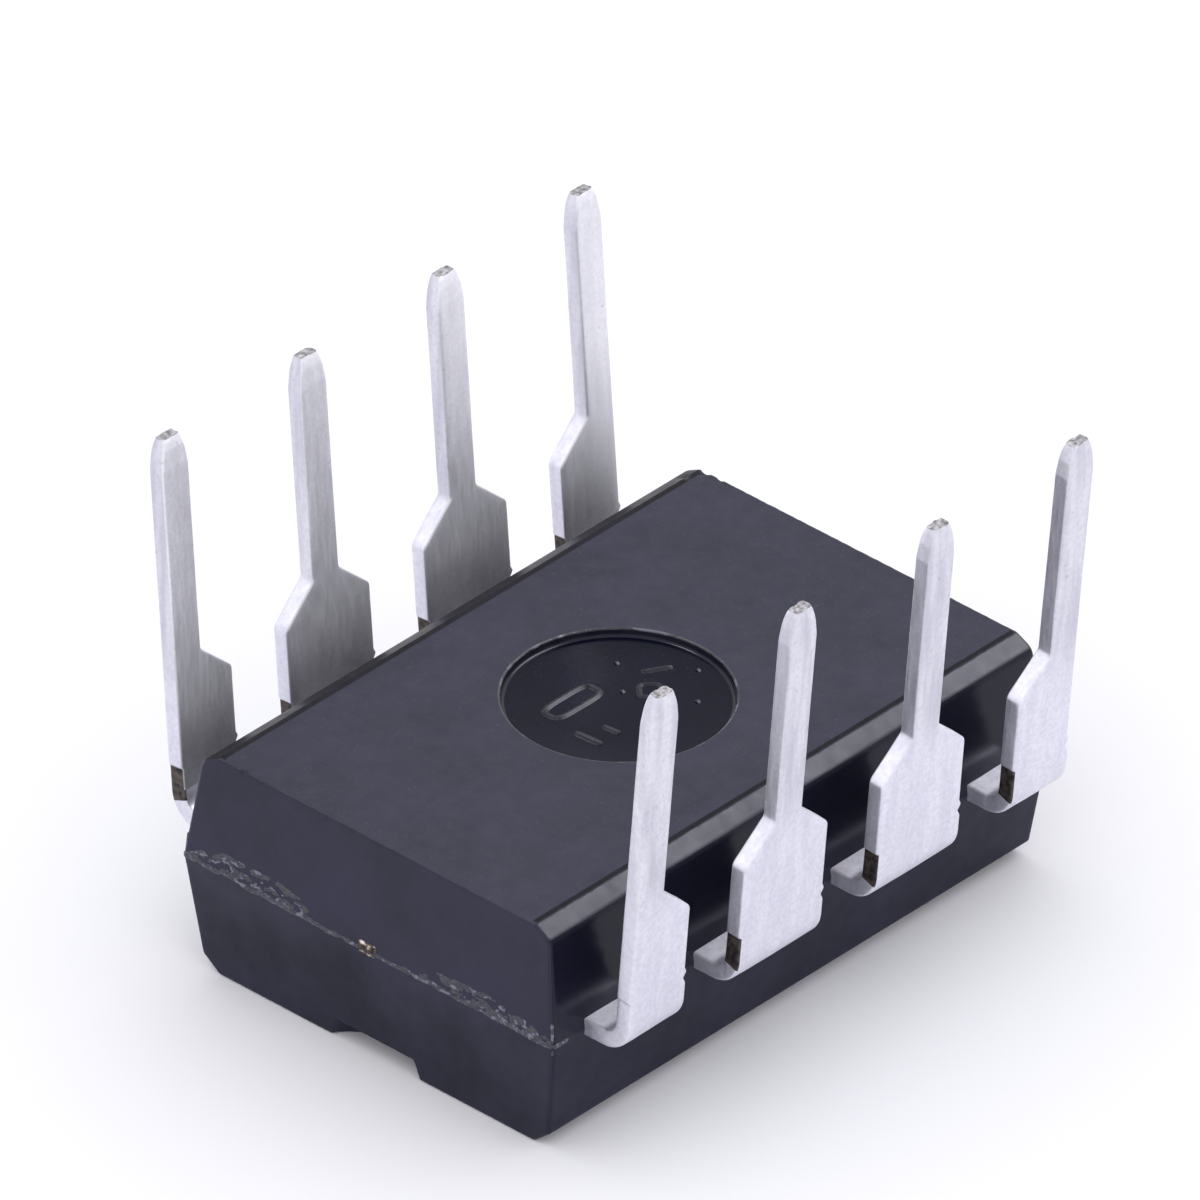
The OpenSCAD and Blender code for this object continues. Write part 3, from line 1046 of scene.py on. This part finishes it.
    def build(self, palette: Palette) -> None:
        """Builds the body, cuts its notch and adds the raised marks in its recess.

        Args:
            palette: The chip's finishes.
        """
        points, faces, numbers = self.shell()
        piece = make_piece("moulded_body", points, faces, 35)
        finishes = [getattr(palette, zone.name.lower()) for zone in Zone]
        dress(piece, finishes, numbers)
        tool = self.cutter()
        dress(tool, finishes, Zone.END.value)
        cut = piece.modifiers.new("notch", "BOOLEAN")
        cut.operation, cut.object, cut.solver = "DIFFERENCE", tool, "MANIFOLD"
        graph = bpy.context.evaluated_depsgraph_get()
        mesh = bpy.data.meshes.new_from_object(piece.evaluated_get(graph))
        piece.modifiers.clear()
        piece.data = mesh
        bpy.data.objects.remove(tool)
        floor = self.height - self.recess_depth
        marks = [mark.build(f"mark_{k}", floor) for k, mark in enumerate(RELIEF)]
        for mark in marks:
            # The marks' lighter colour is a painted sheen
            dress(mark, finishes, Zone.RELIEF.value)
        with bpy.context.temp_override(active_object=piece, selected_editable_objects=[piece, *marks]):
            bpy.ops.object.join()
        piece.data.set_sharp_from_angle(angle=math.radians(35))
        smooth = piece.modifiers.new("even_shading", "WEIGHTED_NORMAL")
        smooth.keep_sharp = True
        piece.data.name = "moulded_body"
        seat(piece, Slot.EPOXY, "body")


@dataclass
class PartingFlash:
    """The thin rough fin of epoxy that the two mould halves leave round the parting line.

    Attributes:
        body: The body that it stands on.
        fin: How far the fin stands out.
        crumb: How far the largest crumbs stand out.
        burr: How far the jagged flash between the leads stands out.
        sunk: How deep the ribbon's edges lie in the wall.
        rows: Rows of points up the ribbon.
        low_z: Its lowest row, from the parting line.
        high_z: Its highest row, from the parting line.
        wander: How far the fin strays up and down.
        plain_end: Share of the notch end's torn patches that the other end has.
        section: Outline of the ribbon.
    """

    body: MouldedBody
    fin: float = 0.018 * MM
    crumb: float = 0.05 * MM
    burr: float = 0.11 * MM
    sunk: float = 0.03 * MM
    rows: int = 19
    low_z: float = -0.16 * MM
    high_z: float = 0.34 * MM
    wander: float = 0.018 * MM
    plain_end: float = 0.7
    section: Section = Section(300, 330, 8)

    def upper_line(self, y: np.ndarray, on_notch_end: np.ndarray) -> np.ndarray:
        """Height above the parting line of the second, wandering ridge on the ends.

        Args:
            y: Place across the body.
            on_notch_end: Whether each point lies on the -X end.

        Returns:
            One height for each point.
        """
        half = self.body.half_w
        left = 0.26 * MM * np.clip((half - y) / (0.5 * MM), 0, 1) * np.clip((y - 0.1 * MM) / (1.4 * MM), 0, 1)
        right = 0.22 * MM * np.sin(np.pi * np.clip((y + half) / (2.6 * MM), 0, 1)) ** 0.6
        height = np.where(y > 0, left, right)
        return np.where(on_notch_end, height, height * self.plain_end)

    def reach(self, rise: float, line: np.ndarray, outward: np.ndarray) -> np.ndarray:
        """How far the flash stands out of the wall along one row of the ribbon.

        Args:
            rise: Height of the row above the parting line.
            line: Points of the parting line, as rows of x and y.
            outward: Outward direction of each point.

        Returns:
            One distance for each point.
        """
        body = self.body
        x, y = line.T
        on_end = np.abs(outward[:, 0])
        notch_end = outward[:, 0] < -0.5
        upper = self.upper_line(y, notch_end)
        wander = self.wander * Grain(0.22 * MM, 12).at(line)
        main = np.exp(-(((rise - wander) / (0.022 * MM)) ** 2))
        second = np.exp(-(((rise - upper - wander) / (0.026 * MM)) ** 2))
        above_main = fade(np.full(len(line), rise), -0.02 * MM, 0.01 * MM)
        between = above_main * (1 - fade(rise - upper, -0.01 * MM, 0.03 * MM))
        patch = np.maximum(fade(y, 0.7 * MM, 1.4 * MM) * 0.8, fade(-y, 0.8 * MM, 1.3 * MM))
        patch *= np.where(notch_end, 1.0, self.plain_end) * on_end
        patch *= fade(-np.abs(y), -body.half_w, 0.06 * MM - body.half_w)
        spots = np.column_stack([line * (1, 0.6), np.full(len(line), rise)])
        fine, finer = Grain(0.065 * MM, 13).at(spots), Grain(0.03 * MM, 14).at(spots)
        uneven = 0.8 + 0.2 * Grain(0.5 * MM, 11).at(line)
        ridge = main * self.fin * uneven * (0.75 + 0.5 * fine)
        ridge += second * patch * self.fin * (0.35 + 0.7 * fine)
        crumbs = np.clip(fine + 0.6 * finer - 0.05, 0, 1) * self.crumb * 0.8
        out = ridge + crumbs * patch * np.maximum(between, np.maximum(main, second) * 0.9) * 0.8
        out += main * crumbs * 0.35 * on_end
        on_side = 1 - on_end
        near_corner = on_side * fade(-x, body.half_l - 0.35 * MM, body.half_l - 0.1 * MM) * fade(-y, 0, MM)
        out *= np.maximum(on_end, near_corner)
        far_side = fade(y, body.half_w - 0.02 * MM, body.half_w) * on_side
        burr = far_side * self.far_burr(x) * main
        return out + burr * (self.burr + 0.05 * MM * fine) + near_corner * crumbs * main

    def build(self, palette: Palette) -> None:
        """Builds the flash as one closed ribbon round the body.

        Args:
            palette: The chip's finishes.
        """
        body = self.body
        _, outward = self.section.template()
        line = self.section.ring((body.half_l, body.half_w), body.corner_r)
        draft = np.where(np.abs(outward[:, 0]) > 0.5, body.end_draft, body.side_draft)
        furthest = np.where(np.abs(outward[:, 0]) > 0.5, body.flash_room, np.inf)
        # The first and last rows lie in the wall, and two more close the ribbon behind it
        behind = -self.sunk - 0.05 * MM
        rows = []
        for rise in np.linspace(self.low_z, self.high_z, self.rows):
            out = self.reach(rise, line, outward)
            out -= 0.004 * MM * (out < 0.002 * MM)
            if rise in (self.low_z, self.high_z):
                out = np.full(len(line), -self.sunk)
            rows.append((rise, np.minimum(out - abs(rise) * np.tan(draft), furthest)))
        rows += [(rise, np.full(len(line), behind)) for rise in (self.high_z, self.low_z)]
        rings = [np.column_stack([line + outward * out[:, None], np.full(len(line), body.parting_z + rise)])
                 for rise, out in rows]
        faces = loft_faces(len(rings), len(line), True)
        piece = make_piece("parting_flash", np.concatenate(rings), faces, 60)
        dress(piece, [palette.flash])
        seat(piece, Slot.EPOXY)

    def far_burr(self, x: np.ndarray) -> np.ndarray:
        """Where jagged flash stands out between the leads of the +Y row.

        Args:
            x: Place along the body.

        Returns:
            A share of the full burr for each point, at times a little over 1.
        """
        # Start, stop and share of each stretch
        gaps = [(-4.75 * MM, -4.42 * MM, 0.6), (-2.95 * MM, -2.1 * MM, 1.0), (-0.35 * MM, 0.4 * MM, 0.35),
                (2.2 * MM, 2.9 * MM, 0.25)]
        total = np.zeros_like(x)
        for start, stop, share in gaps:
            total += share * fade(x, start, start + 0.12 * MM) * (1 - fade(x, stop - 0.12 * MM, stop))
        jag = 0.5 + 0.5 * Grain(0.09 * MM, 21).at(np.column_stack([x, np.zeros_like(x)]))
        return total * (0.35 + 0.9 * jag)


# ---------------------------------------------------------------- lead frame

# Thickness of the lead frame, and the height of its lower face inside the body
FRAME_THICK = 0.24 * MM
FRAME_Z = 1.60 * MM


@dataclass
class Strip:
    """A strip of rolled metal with soft edges, swept along a bent centre line.

    Attributes:
        name: Name of the piece.
        stations: Place along the strip of each section.
        centres: Middle of each section.
        normals: Direction of the strip's outer face at each section.
        lateral: Direction across the strip.
        lefts: Reach against the lateral direction of each section.
        rights: Reach along the lateral direction of each section.
        thick: Thickness of each section.
        seed: Number that tells one strip's grain from another's.
        edge_r: Radius of the long edges.
        wave: Depth of the rolled faces' waves.
        crown: How far the middle of the faces stands over their edges.
        end_rough: Roughness of the last end.
        section: Outline of the strip's section.
    """

    name: str
    stations: np.ndarray
    centres: np.ndarray
    normals: np.ndarray
    lateral: np.ndarray
    lefts: np.ndarray
    rights: np.ndarray
    thick: np.ndarray
    seed: int
    edge_r: float = 0.035 * MM
    wave: float = 0.0018 * MM
    crown: float = 0.006 * MM
    end_rough: float = 0.012 * MM
    section: Section = Section(10, 3, 4)

    def build(self) -> Object:
        """Builds the strip's mesh.

        Returns:
            The new piece, with no finish yet.
        """
        inner, outward = self.section.template()
        size = len(inner)
        rings = []
        for k in range(len(self.stations)):
            half = ((self.lefts[k] + self.rights[k]) / 2, self.thick[k] / 2)
            radius = min(self.edge_r, 0.85 * half[0], 0.85 * half[1])
            flat = self.section.ring(half, radius, ((self.rights[k] - self.lefts[k]) / 2, 0.0))
            flat[:, 1] *= 1 + self.crown / half[1] * (1 - np.clip((flat[:, 0] / half[0]) ** 2, 0, 1))
            aside, out = np.outer(flat[:, 0], self.lateral), np.outer(flat[:, 1], self.normals[k])
            rings.append(self.centres[k] + aside + out)
        points = np.concatenate(rings)
        lift = Grain(0.09 * MM, self.seed).at(points * (1, 1, 0.08))
        lift += 0.35 * Grain(0.2 * MM, self.seed + 50).at(points)
        across = np.tile(outward[:, 0], len(rings))[:, None] * self.lateral
        along = np.repeat(self.normals, size, axis=0) * np.tile(outward[:, 1], len(rings))[:, None]
        points += (across + along) * (self.wave * lift)[:, None]
        last = points[-size:]
        last += Grain(0.05 * MM, self.seed + 9).at(last)[:, None] * self.end_rough * np.array([0.6, 0.6, 1])
        middle = last.mean(0)
        caps = []
        for share in (0.75, 0.5, 0.25, 0.02):
            cap = middle + (last - middle) * share
            caps.append(cap + np.outer(Grain(0.06 * MM, self.seed + 30).at(cap), (0, 0, self.end_rough)))
        faces = loft_faces(len(rings) + len(caps), size)
        return make_piece(self.name, np.concatenate([points, *caps]), faces, 50)

    def side_faces(self, start: float, stop: float, left: bool) -> np.ndarray:
        """Numbers of the faces on one stamped edge between two stations.

        Args:
            start: First place along the strip.
            stop: Last place along the strip.
            left: Whether it is the edge against the lateral direction.

        Returns:
            Face numbers.
        """
        _, outward = self.section.template()
        size = len(outward)
        facing = outward[:, 0] < -0.3 if left else outward[:, 0] > 0.3
        found = []
        for k in range(len(self.stations) - 1):
            if start <= self.stations[k] and self.stations[k + 1] <= stop:
                found += [k * size + i for i in range(size) if facing[i] and facing[(i + 1) % size]]
        return np.array(found, int)


def merged_stations(lines: list[np.ndarray], spacing: float) -> np.ndarray:
    """Stations at every bend of several lines, with none further apart than a spacing.

    Args:
        lines: Lines whose first column is the place along the strip.
        spacing: Widest gap between stations.

    Returns:
        The stations, in order.
    """
    spots = np.unique(np.round(np.concatenate([line[:, 0] for line in lines]), 9))
    out = [spots[0]]
    for spot in spots[1:]:
        steps = max(1, math.ceil((spot - out[-1]) / spacing))
        out += list(out[-1] + (spot - out[-1]) * (np.arange(steps) + 1) / steps)
    return np.array(out)


@dataclass
class Lead:
    """One lead: a finger inside the body, a flat foot, a bend and an upright pin.

    Attributes:
        pin: Its number, from 1 to 8.
        pitch: Distance between the leads of a row.
        thick: Thickness of the lead frame.
        frame_z: Height of the frame's lower face.
        foot: Length of the flat foot outside the body.
        bend_r: Inner radius of the bend.
        splay: Lean of the upright arm.
        shoulder_w: Width of the shoulder.
        shoulder_z: Height at which the shoulder starts to narrow.
        taper: Height over which it narrows.
        pin_w: Width of the pin.
        dambar_z: Height at which the dam bar was cut off.
        dambar_cut: How far each edge lies in below that cut, apart from its burr.
        finger_w: Width of a middle lead's finger.
        finger_tip_y: Distance of that finger's tip from the middle line.
        corner_tip: Reach of a corner lead's finger towards the pad.
        corner_y: Distances of that reach's two edges from the middle line.
        tip_l: Length of the coined tip.
        coin: Distance from the tip, and half width there, of each bend of the coined edges.
        coin_thick: Distance from the tip, and thickness there, of the coined faces.
        bare_s: Place along the strip at which the sheared edges start.
        bare_gaps: How far below the dam bar's cut the bare copper stops, on the -X and +X edge.
        tip_room: Height left under the CAD tip for the rough crop.
        inset: How much less the arms lean out than the CAD ones, in metres to a metre.
        half_w: Half the width of the body.
        tip_z: Height of the tip.
    """

    pin: int
    pitch: float = 2.54 * MM
    thick: float = FRAME_THICK
    frame_z: float = FRAME_Z
    foot: float = 0.29 * MM
    bend_r: float = 0.22 * MM
    splay: float = math.radians(4.9)
    shoulder_w: float = 1.54 * MM
    shoulder_z: float = 3.48 * MM
    taper: float = 0.48 * MM
    pin_w: float = 0.48 * MM
    dambar_z: float = 2.42 * MM
    dambar_cut: float = 0.02 * MM
    finger_w: float = 0.70 * MM
    finger_tip_y: float = 1.60 * MM
    corner_tip: float = 1.71 * MM
    corner_y: Point = (0.50 * MM, 1.20 * MM)
    tip_l: float = 0.45 * MM
    coin: tuple[Point, ...] = ((0.22 * MM, 0.21 * MM), (0.05 * MM, 0.165 * MM), (0, 0.145 * MM))
    coin_thick: tuple[Point, ...] = ((0.14 * MM, 0.215 * MM), (0.05 * MM, 0.18 * MM), (0, 0.15 * MM))
    bare_s: float = 0.36 * MM
    bare_gaps: Point = (0.005 * MM, 0.16 * MM)
    tip_room: float = 0.03 * MM
    inset: float = 0.005
    half_w: float = field(init=False)
    tip_z: float = field(init=False)

    def __post_init__(self) -> None:
        """Takes the row's place and height from the CAD nodes."""
        self.half_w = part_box("body")[1].y
        self.tip_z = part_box(f"lead_{self.pin}")[1].z - self.tip_room

    @property
    def side(self) -> int:
        """+1 on the row of pins 1 to 4, and -1 on the other row."""
        return 1 if self.pin <= 4 else -1

    @property
    def place(self) -> int:
        """Place along the row, from 0 at the -X end to 3."""
        return self.pin - 1 if self.pin <= 4 else 8 - self.pin

    @property
    def x(self) -> float:
        """Middle of the lead along the body."""
        return (self.place - 1.5) * self.pitch

    @property
    def mid_r(self) -> float:
        """Radius of the bend at the strip's middle."""
        return self.bend_r + self.thick / 2

    @property
    def bend_l(self) -> float:
        """Length of the bend along the strip's middle."""
        return self.mid_r * (math.pi / 2 - self.splay)

    @property
    def bend_y(self) -> float:
        """Distance from the middle line to the start of the bend."""
        return self.half_w + self.foot

    def along(self, z: float) -> float:
        """Place along the strip of a height on the upright arm."""
        start_z = self.frame_z + self.bend_r + self.thick - self.mid_r * math.sin(self.splay)
        return self.bend_l + (z - start_z) / math.cos(self.splay)

    def spot(self, s: float) -> tuple[np.ndarray, np.ndarray]:
        """Middle of the strip and its outer normal at a place along it.

        Args:
            s: Place along the strip, 0 where the bend starts.

        Returns:
            The middle and the normal, both as y and z in the +Y row.
        """
        centre = np.array([self.bend_y, self.frame_z + self.bend_r + self.thick])
        turn = np.clip(s / self.mid_r, 0, math.pi / 2 - self.splay)
        normal = np.array([math.sin(turn), -math.cos(turn)])
        ahead = np.array([math.cos(turn), math.sin(turn)])
        extra = min(s, 0) + max(s - self.bend_l, 0)
        return centre + normal * self.mid_r + ahead * extra, normal

    def edge(self, outer_corner: bool, right: bool) -> np.ndarray:
        """Reach of one stamped edge against the place along the strip.

        Args:
            outer_corner: Whether this is the straight outer edge of a corner lead.
            right: Whether it is the +X edge.

        Returns:
            Rows of place and reach.
        """
        full = self.pin_w / 2 if outer_corner else self.shoulder_w / 2
        root = full - self.dambar_cut
        dam = self.along(self.dambar_z)
        tip = self.along(self.tip_z)
        top = [(self.along(self.shoulder_z), full),
               (self.along(self.shoulder_z + self.taper), self.pin_w / 2),
               (tip - self.tip_l, self.pin_w / 2), *((tip - gap, half) for gap, half in self.coin)]
        # The +X edge keeps a burr over the cut
        if right:
            foot = [(0.12 * MM, root + 0.055 * MM), (dam - 0.16 * MM, root + 0.05 * MM),
                    (dam - 0.06 * MM, full - 0.02 * MM), (dam + 0.02 * MM, full + 0.035 * MM),
                    (dam + 0.09 * MM, full)]
        else:
            foot = [(0.05 * MM, root), (dam - 0.01 * MM, root), (dam + 0.015 * MM, full)]
        radii = (0.03 * MM,) * len(foot) + (0.12 * MM, 0.10 * MM, 0.2 * MM, 0.2 * MM, 0.05 * MM)
        return rounded([(-self.foot, root), *foot, *top], radii)

    def finger(self, inward: bool) -> np.ndarray:
        """Reach of one edge of the finger inside the body.

        Args:
            inward: Whether this is the edge of a corner finger that turns towards the pad.

        Returns:
            Rows of place and reach, up to the foot.
        """
        step, chamfer = 0.002 * MM, 0.55 * MM
        root_s = -self.foot
        wide = self.shoulder_w / 2 - self.dambar_cut
        if self.place in (1, 2):
            tip = self.finger_tip_y - self.bend_y
            return np.array([(tip, self.finger_w / 2), (root_s - 0.80 * MM, self.finger_w / 2),
                             (root_s - 0.45 * MM, wide), (root_s - step, wide)])
        near, far = self.corner_y[0] - self.bend_y, self.corner_y[1] - self.bend_y
        if inward:
            return np.array([(near, self.corner_tip), (far, self.corner_tip), (far + step, wide),
                             (root_s - step, wide)])
        outer = self.pin_w / 2 - self.dambar_cut
        return np.array([(near, outer - chamfer), (near + chamfer, outer), (root_s - step, outer)])

    def zones(self, piece: Object, strip: Strip) -> np.ndarray:
        """Sorts the lead's faces by their finish.

        Args:
            piece: The lead's piece.
            strip: The strip that it was built from.

        Returns:
            The zone number of each face.
        """
        faces = piece.data.polygons
        numbers = np.full(len(faces), LeadZone.PLATE.value)
        cut = self.along(self.dambar_z)
        for left, gap in zip((True, False), self.bare_gaps):
            # Pin 8's edge at the notch end is plated over
            if not (left and self.pin == 8):
                numbers[strip.side_faces(self.bare_s, cut - gap, left)] = LeadZone.SHEARED.value
        for face in faces:
            if face.normal.z > 0.65 and face.center.z > self.tip_z - 0.02 * MM:
                numbers[face.index] = LeadZone.CROPPED.value
            # Faces turned to the body take the finish with the painted shade
            elif face.normal.y * self.side < -0.25 and face.center.z > self.dambar_z - 0.3 * MM:
                numbers[face.index] = LeadZone.INNER.value
        return numbers

    def build(self, palette: Palette) -> None:
        """Builds the lead and bares its copper where the dam bars were sheared off.

        Args:
            palette: The chip's finishes.
        """
        corner_side = {0: -1, 3: 1}.get(self.place, 0)
        left = np.concatenate([self.finger(corner_side == 1), self.edge(corner_side == -1, False)])
        right = np.concatenate([self.finger(corner_side == -1), self.edge(corner_side == 1, True)])
        tip = self.along(self.tip_z)
        coined = [(tip - gap, size) for gap, size in self.coin_thick]
        thick = rounded([(left[0, 0], self.thick), (tip - 0.4 * MM, self.thick), *coined],
                        (0.2 * MM, 0.2 * MM, 0.05 * MM))
        stations = merged_stations([left, right, thick], 0.05 * MM)
        spots = [self.spot(s) for s in stations]
        centres = np.array([(self.x, self.side * p[0], p[1]) for p, _ in spots])
        normals = np.array([(0, self.side * n[0], n[1]) for _, n in spots])
        sizes = [np.interp(stations, line[:, 0], line[:, 1]) for line in (left, right, thick)]
        strip = Strip(f"lead_{self.pin}_tinned", stations, centres, normals, np.array([1.0, 0, 0]), *sizes,
                      seed=100 + self.pin)
        self.lean(strip)
        piece = strip.build()
        if self.side < 0:
            piece.data.flip_normals()
        finishes = [palette.tin, palette.sheared, palette.tin_inner, palette.cropped]
        dress(piece, finishes, self.zones(piece, strip))
        seat(piece, Slot.TIN, f"lead_{self.pin}")

    def lean(self, strip: Strip) -> None:
        """Leans the pin a little, as handling leaves it.

        Args:
            strip: The lead's strip, whose sections are moved in place.
        """
        # Lean along X and towards the body of each pin, in metres to a metre
        leans = {1: (0.002, 0.001), 2: (-0.001, 0.001), 3: (0, 0), 4: (0, 0.001),
                 5: (0.010, 0), 6: (0.001, 0.001), 7: (0.002, 0.002), 8: (0, 0)}
        sideways, inward = leans[self.pin]
        rise = np.clip(strip.centres[:, 2] - self.dambar_z, 0, None)
        strip.centres[:, 0] += sideways * rise
        strip.centres[:, 1] -= self.side * (inward + self.inset) * rise


@dataclass
class DiePaddle:
    """The pad under the chip, and its two tie bars that end in the body's end faces.

    Attributes:
        length: Length of the pad.
        width: Width of the pad.
        offset: How far the pad is pressed out of the lead frame's plane.
        thick: Thickness of the lead frame.
        tie_w: Width of a tie bar.
        slope: Length of the slope between a tie bar and the pad.
        frame_z: Height of the frame's lower face.
        torn_l: Length of a tie bar's torn end.
        torn_room: Length left at each end for its roughness.
    """

    length: float = 3.50 * MM
    width: float = 2.50 * MM
    offset: float = 0.20 * MM
    thick: float = FRAME_THICK
    tie_w: float = 0.40 * MM
    slope: float = 0.40 * MM
    frame_z: float = FRAME_Z
    torn_l: float = 0.06 * MM
    torn_room: float = 0.005 * MM

    def build(self, palette: Palette) -> None:
        """Builds the pad with its tie bars.

        Args:
            palette: The chip's finishes.
        """
        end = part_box("die_paddle")[1].x - self.torn_room
        half, step = self.length / 2, 0.002 * MM
        reach = [(-end, self.tie_w / 2), (-half - step, self.tie_w / 2), (-half, self.width / 2),
                 (half, self.width / 2), (half + step, self.tie_w / 2), (end, self.tie_w / 2)]
        level = rounded([(-end, 0), (-half - self.slope, 0), (-half, self.offset), (half, self.offset),
                         (half + self.slope, 0), (end, 0)], (0.1 * MM,) * 4)
        gaps = np.linspace(0, self.torn_l, 7)
        ends = np.array([(sign * (end - gap), 0) for sign in (-1, 1) for gap in gaps])
        stations = merged_stations([np.array(reach), level, ends], 0.12 * MM)
        heights = self.frame_z + self.thick / 2 + np.interp(stations, level[:, 0], level[:, 1])
        centres = np.column_stack([stations, np.zeros_like(stations), heights])
        sizes = np.interp(stations, [p for p, _ in reach], [w for _, w in reach])
        torn = fade(np.abs(stations), end - self.torn_l, end)
        strip = Strip("die_paddle_plate", stations, centres, np.tile([0.0, 0, 1], (len(stations), 1)),
                      np.array([0.0, 1, 0]), sizes * (1 - 0.45 * torn), sizes * (1 - 0.30 * torn),
                      self.thick * (1 - 0.45 * torn), seed=77)
        piece = strip.build()
        near_end = [int(abs(face.center.x) > end - self.torn_l) for face in piece.data.polygons]
        dress(piece, [palette.copper, palette.torn], near_end)
        seat(piece, Slot.COPPER, "die_paddle")


# ---------------------------------------------------------------- stage


@dataclass
class Studio:
    """The camera, the pale floor and the soft lights.

    Attributes:
        azimuth: Degrees of the camera round the chip, from its -Y side.
        elevation: Degrees of the camera over the floor.
        roll: Degrees that the camera is turned about its line of sight.
        distance: Distance of the camera from its target.
        target: Where the camera looks.
        lens: Length of its lens, in millimetres.
        floor_r: Radius of the floor.
        world_light: Strength of the light from all round.
    """

    azimuth: float = -47.603
    elevation: float = 33.911
    roll: float = 0.389
    distance: float = 494.05 * MM
    target: Direction = (1.710 * MM, 1.886 * MM, 3.0 * MM)
    lens: float = 1177.98
    floor_r: float = 1.2
    world_light: float = 1.18

    def camera(self) -> None:
        """Makes the camera, far off with a long lens."""
        turn, tilt = math.radians(self.azimuth), math.radians(self.elevation)
        back = Vector((math.sin(turn) * math.cos(tilt), -math.cos(turn) * math.cos(tilt), math.sin(tilt)))
        right = (-back).cross(Vector((0, 0, 1))).normalized()
        up = right.cross(-back)
        roll = math.radians(self.roll)
        right, up = math.cos(roll) * right + math.sin(roll) * up, math.cos(roll) * up - math.sin(roll) * right
        data = bpy.data.cameras.new("camera")
        data.lens, data.sensor_width = self.lens, 36
        data.clip_start, data.clip_end = 0.01, 20
        camera = bpy.data.objects.new("camera", data)
        camera.matrix_world = Matrix.Translation(Vector(self.target) + back * self.distance) @ Matrix(
            (right, up, back)).transposed().to_4x4()
        bpy.context.scene.collection.objects.link(camera)
        bpy.context.scene.camera = camera

    def floor(self) -> None:
        """Makes the floor, a plain pale disc just below the chip."""
        turn = np.linspace(0, 2 * math.pi, 96, endpoint=False)
        below = np.full_like(turn, -0.002 * MM)
        rim = np.column_stack([self.floor_r * np.cos(turn), self.floor_r * np.sin(turn), below])
        floor = make_piece("floor", rim, [tuple(range(len(rim)))])
        graph = Graph("pale_floor")
        tone = graph.blend(graph.noise(40 * MM, 1), (0.93, 0.93, 0.95), (0.95, 0.95, 0.97))
        dress(floor, [graph.finish(Base_Color=tone, Roughness=0.9, Specular_IOR_Level=0.0)])

    def lamp(self, name: str, way: Direction, distance: float, size: float, power: float) -> None:
        """Makes one square soft light that points at the chip and shows in what shines only.

        Args:
            name: Name of the light.
            way: Direction from the chip to the light.
            distance: Distance from the chip.
            size: Side of the light.
            power: Its power in watts.
        """
        data = bpy.data.lights.new(name, "AREA")
        data.shape, data.size, data.energy = "SQUARE", size, power
        lamp = bpy.data.objects.new(name, data)
        lamp.visible_diffuse = False
        out = Vector(way).normalized()
        lamp.location = out * distance
        lamp.rotation_euler = (-out).to_track_quat("-Z", "Y").to_euler()
        bpy.context.scene.collection.objects.link(lamp)

    def build(self) -> None:
        """Makes the whole studio."""
        scene = bpy.context.scene
        scene.view_settings.view_transform = "Standard"
        world = bpy.data.worlds.new("studio_world")
        world.use_nodes = True
        back = world.node_tree.nodes["Background"]
        back.inputs["Color"].default_value = (0.97, 0.97, 1.0, 1)
        back.inputs["Strength"].default_value = self.world_light
        scene.world = world
        self.floor()
        self.lamp("key_light", (0.62, -0.25, 0.75), 0.5, 0.26, 2.0)
        self.lamp("top_light", (-0.10, 0.45, 0.88), 0.5, 0.10, 0.6)
        self.camera()


def main() -> None:
    """Builds every piece of the chip and its studio, and reports them."""
    logging.basicConfig(level=logging.INFO, format="%(name)s: %(message)s")
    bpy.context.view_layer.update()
    palette = Palette.mix()
    body = MouldedBody()
    body.build(palette)
    PartingFlash(body).build(palette)
    for pin in range(1, 9):
        Lead(pin).build(palette)
    DiePaddle().build(palette)
    inner = {"die_attach": palette.paste, "die": palette.silicon}
    inner |= {f"bond_wire_{pin}": palette.gold for pin in range(1, 9)}
    for node, finish in inner.items():
        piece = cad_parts[node]
        piece.data.materials.clear()
        piece.data.materials.append(finish)
        LOG.info("%s keeps its CAD shape", node)
    Studio().build()
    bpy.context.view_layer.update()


if __name__ == "__main__":
    main()
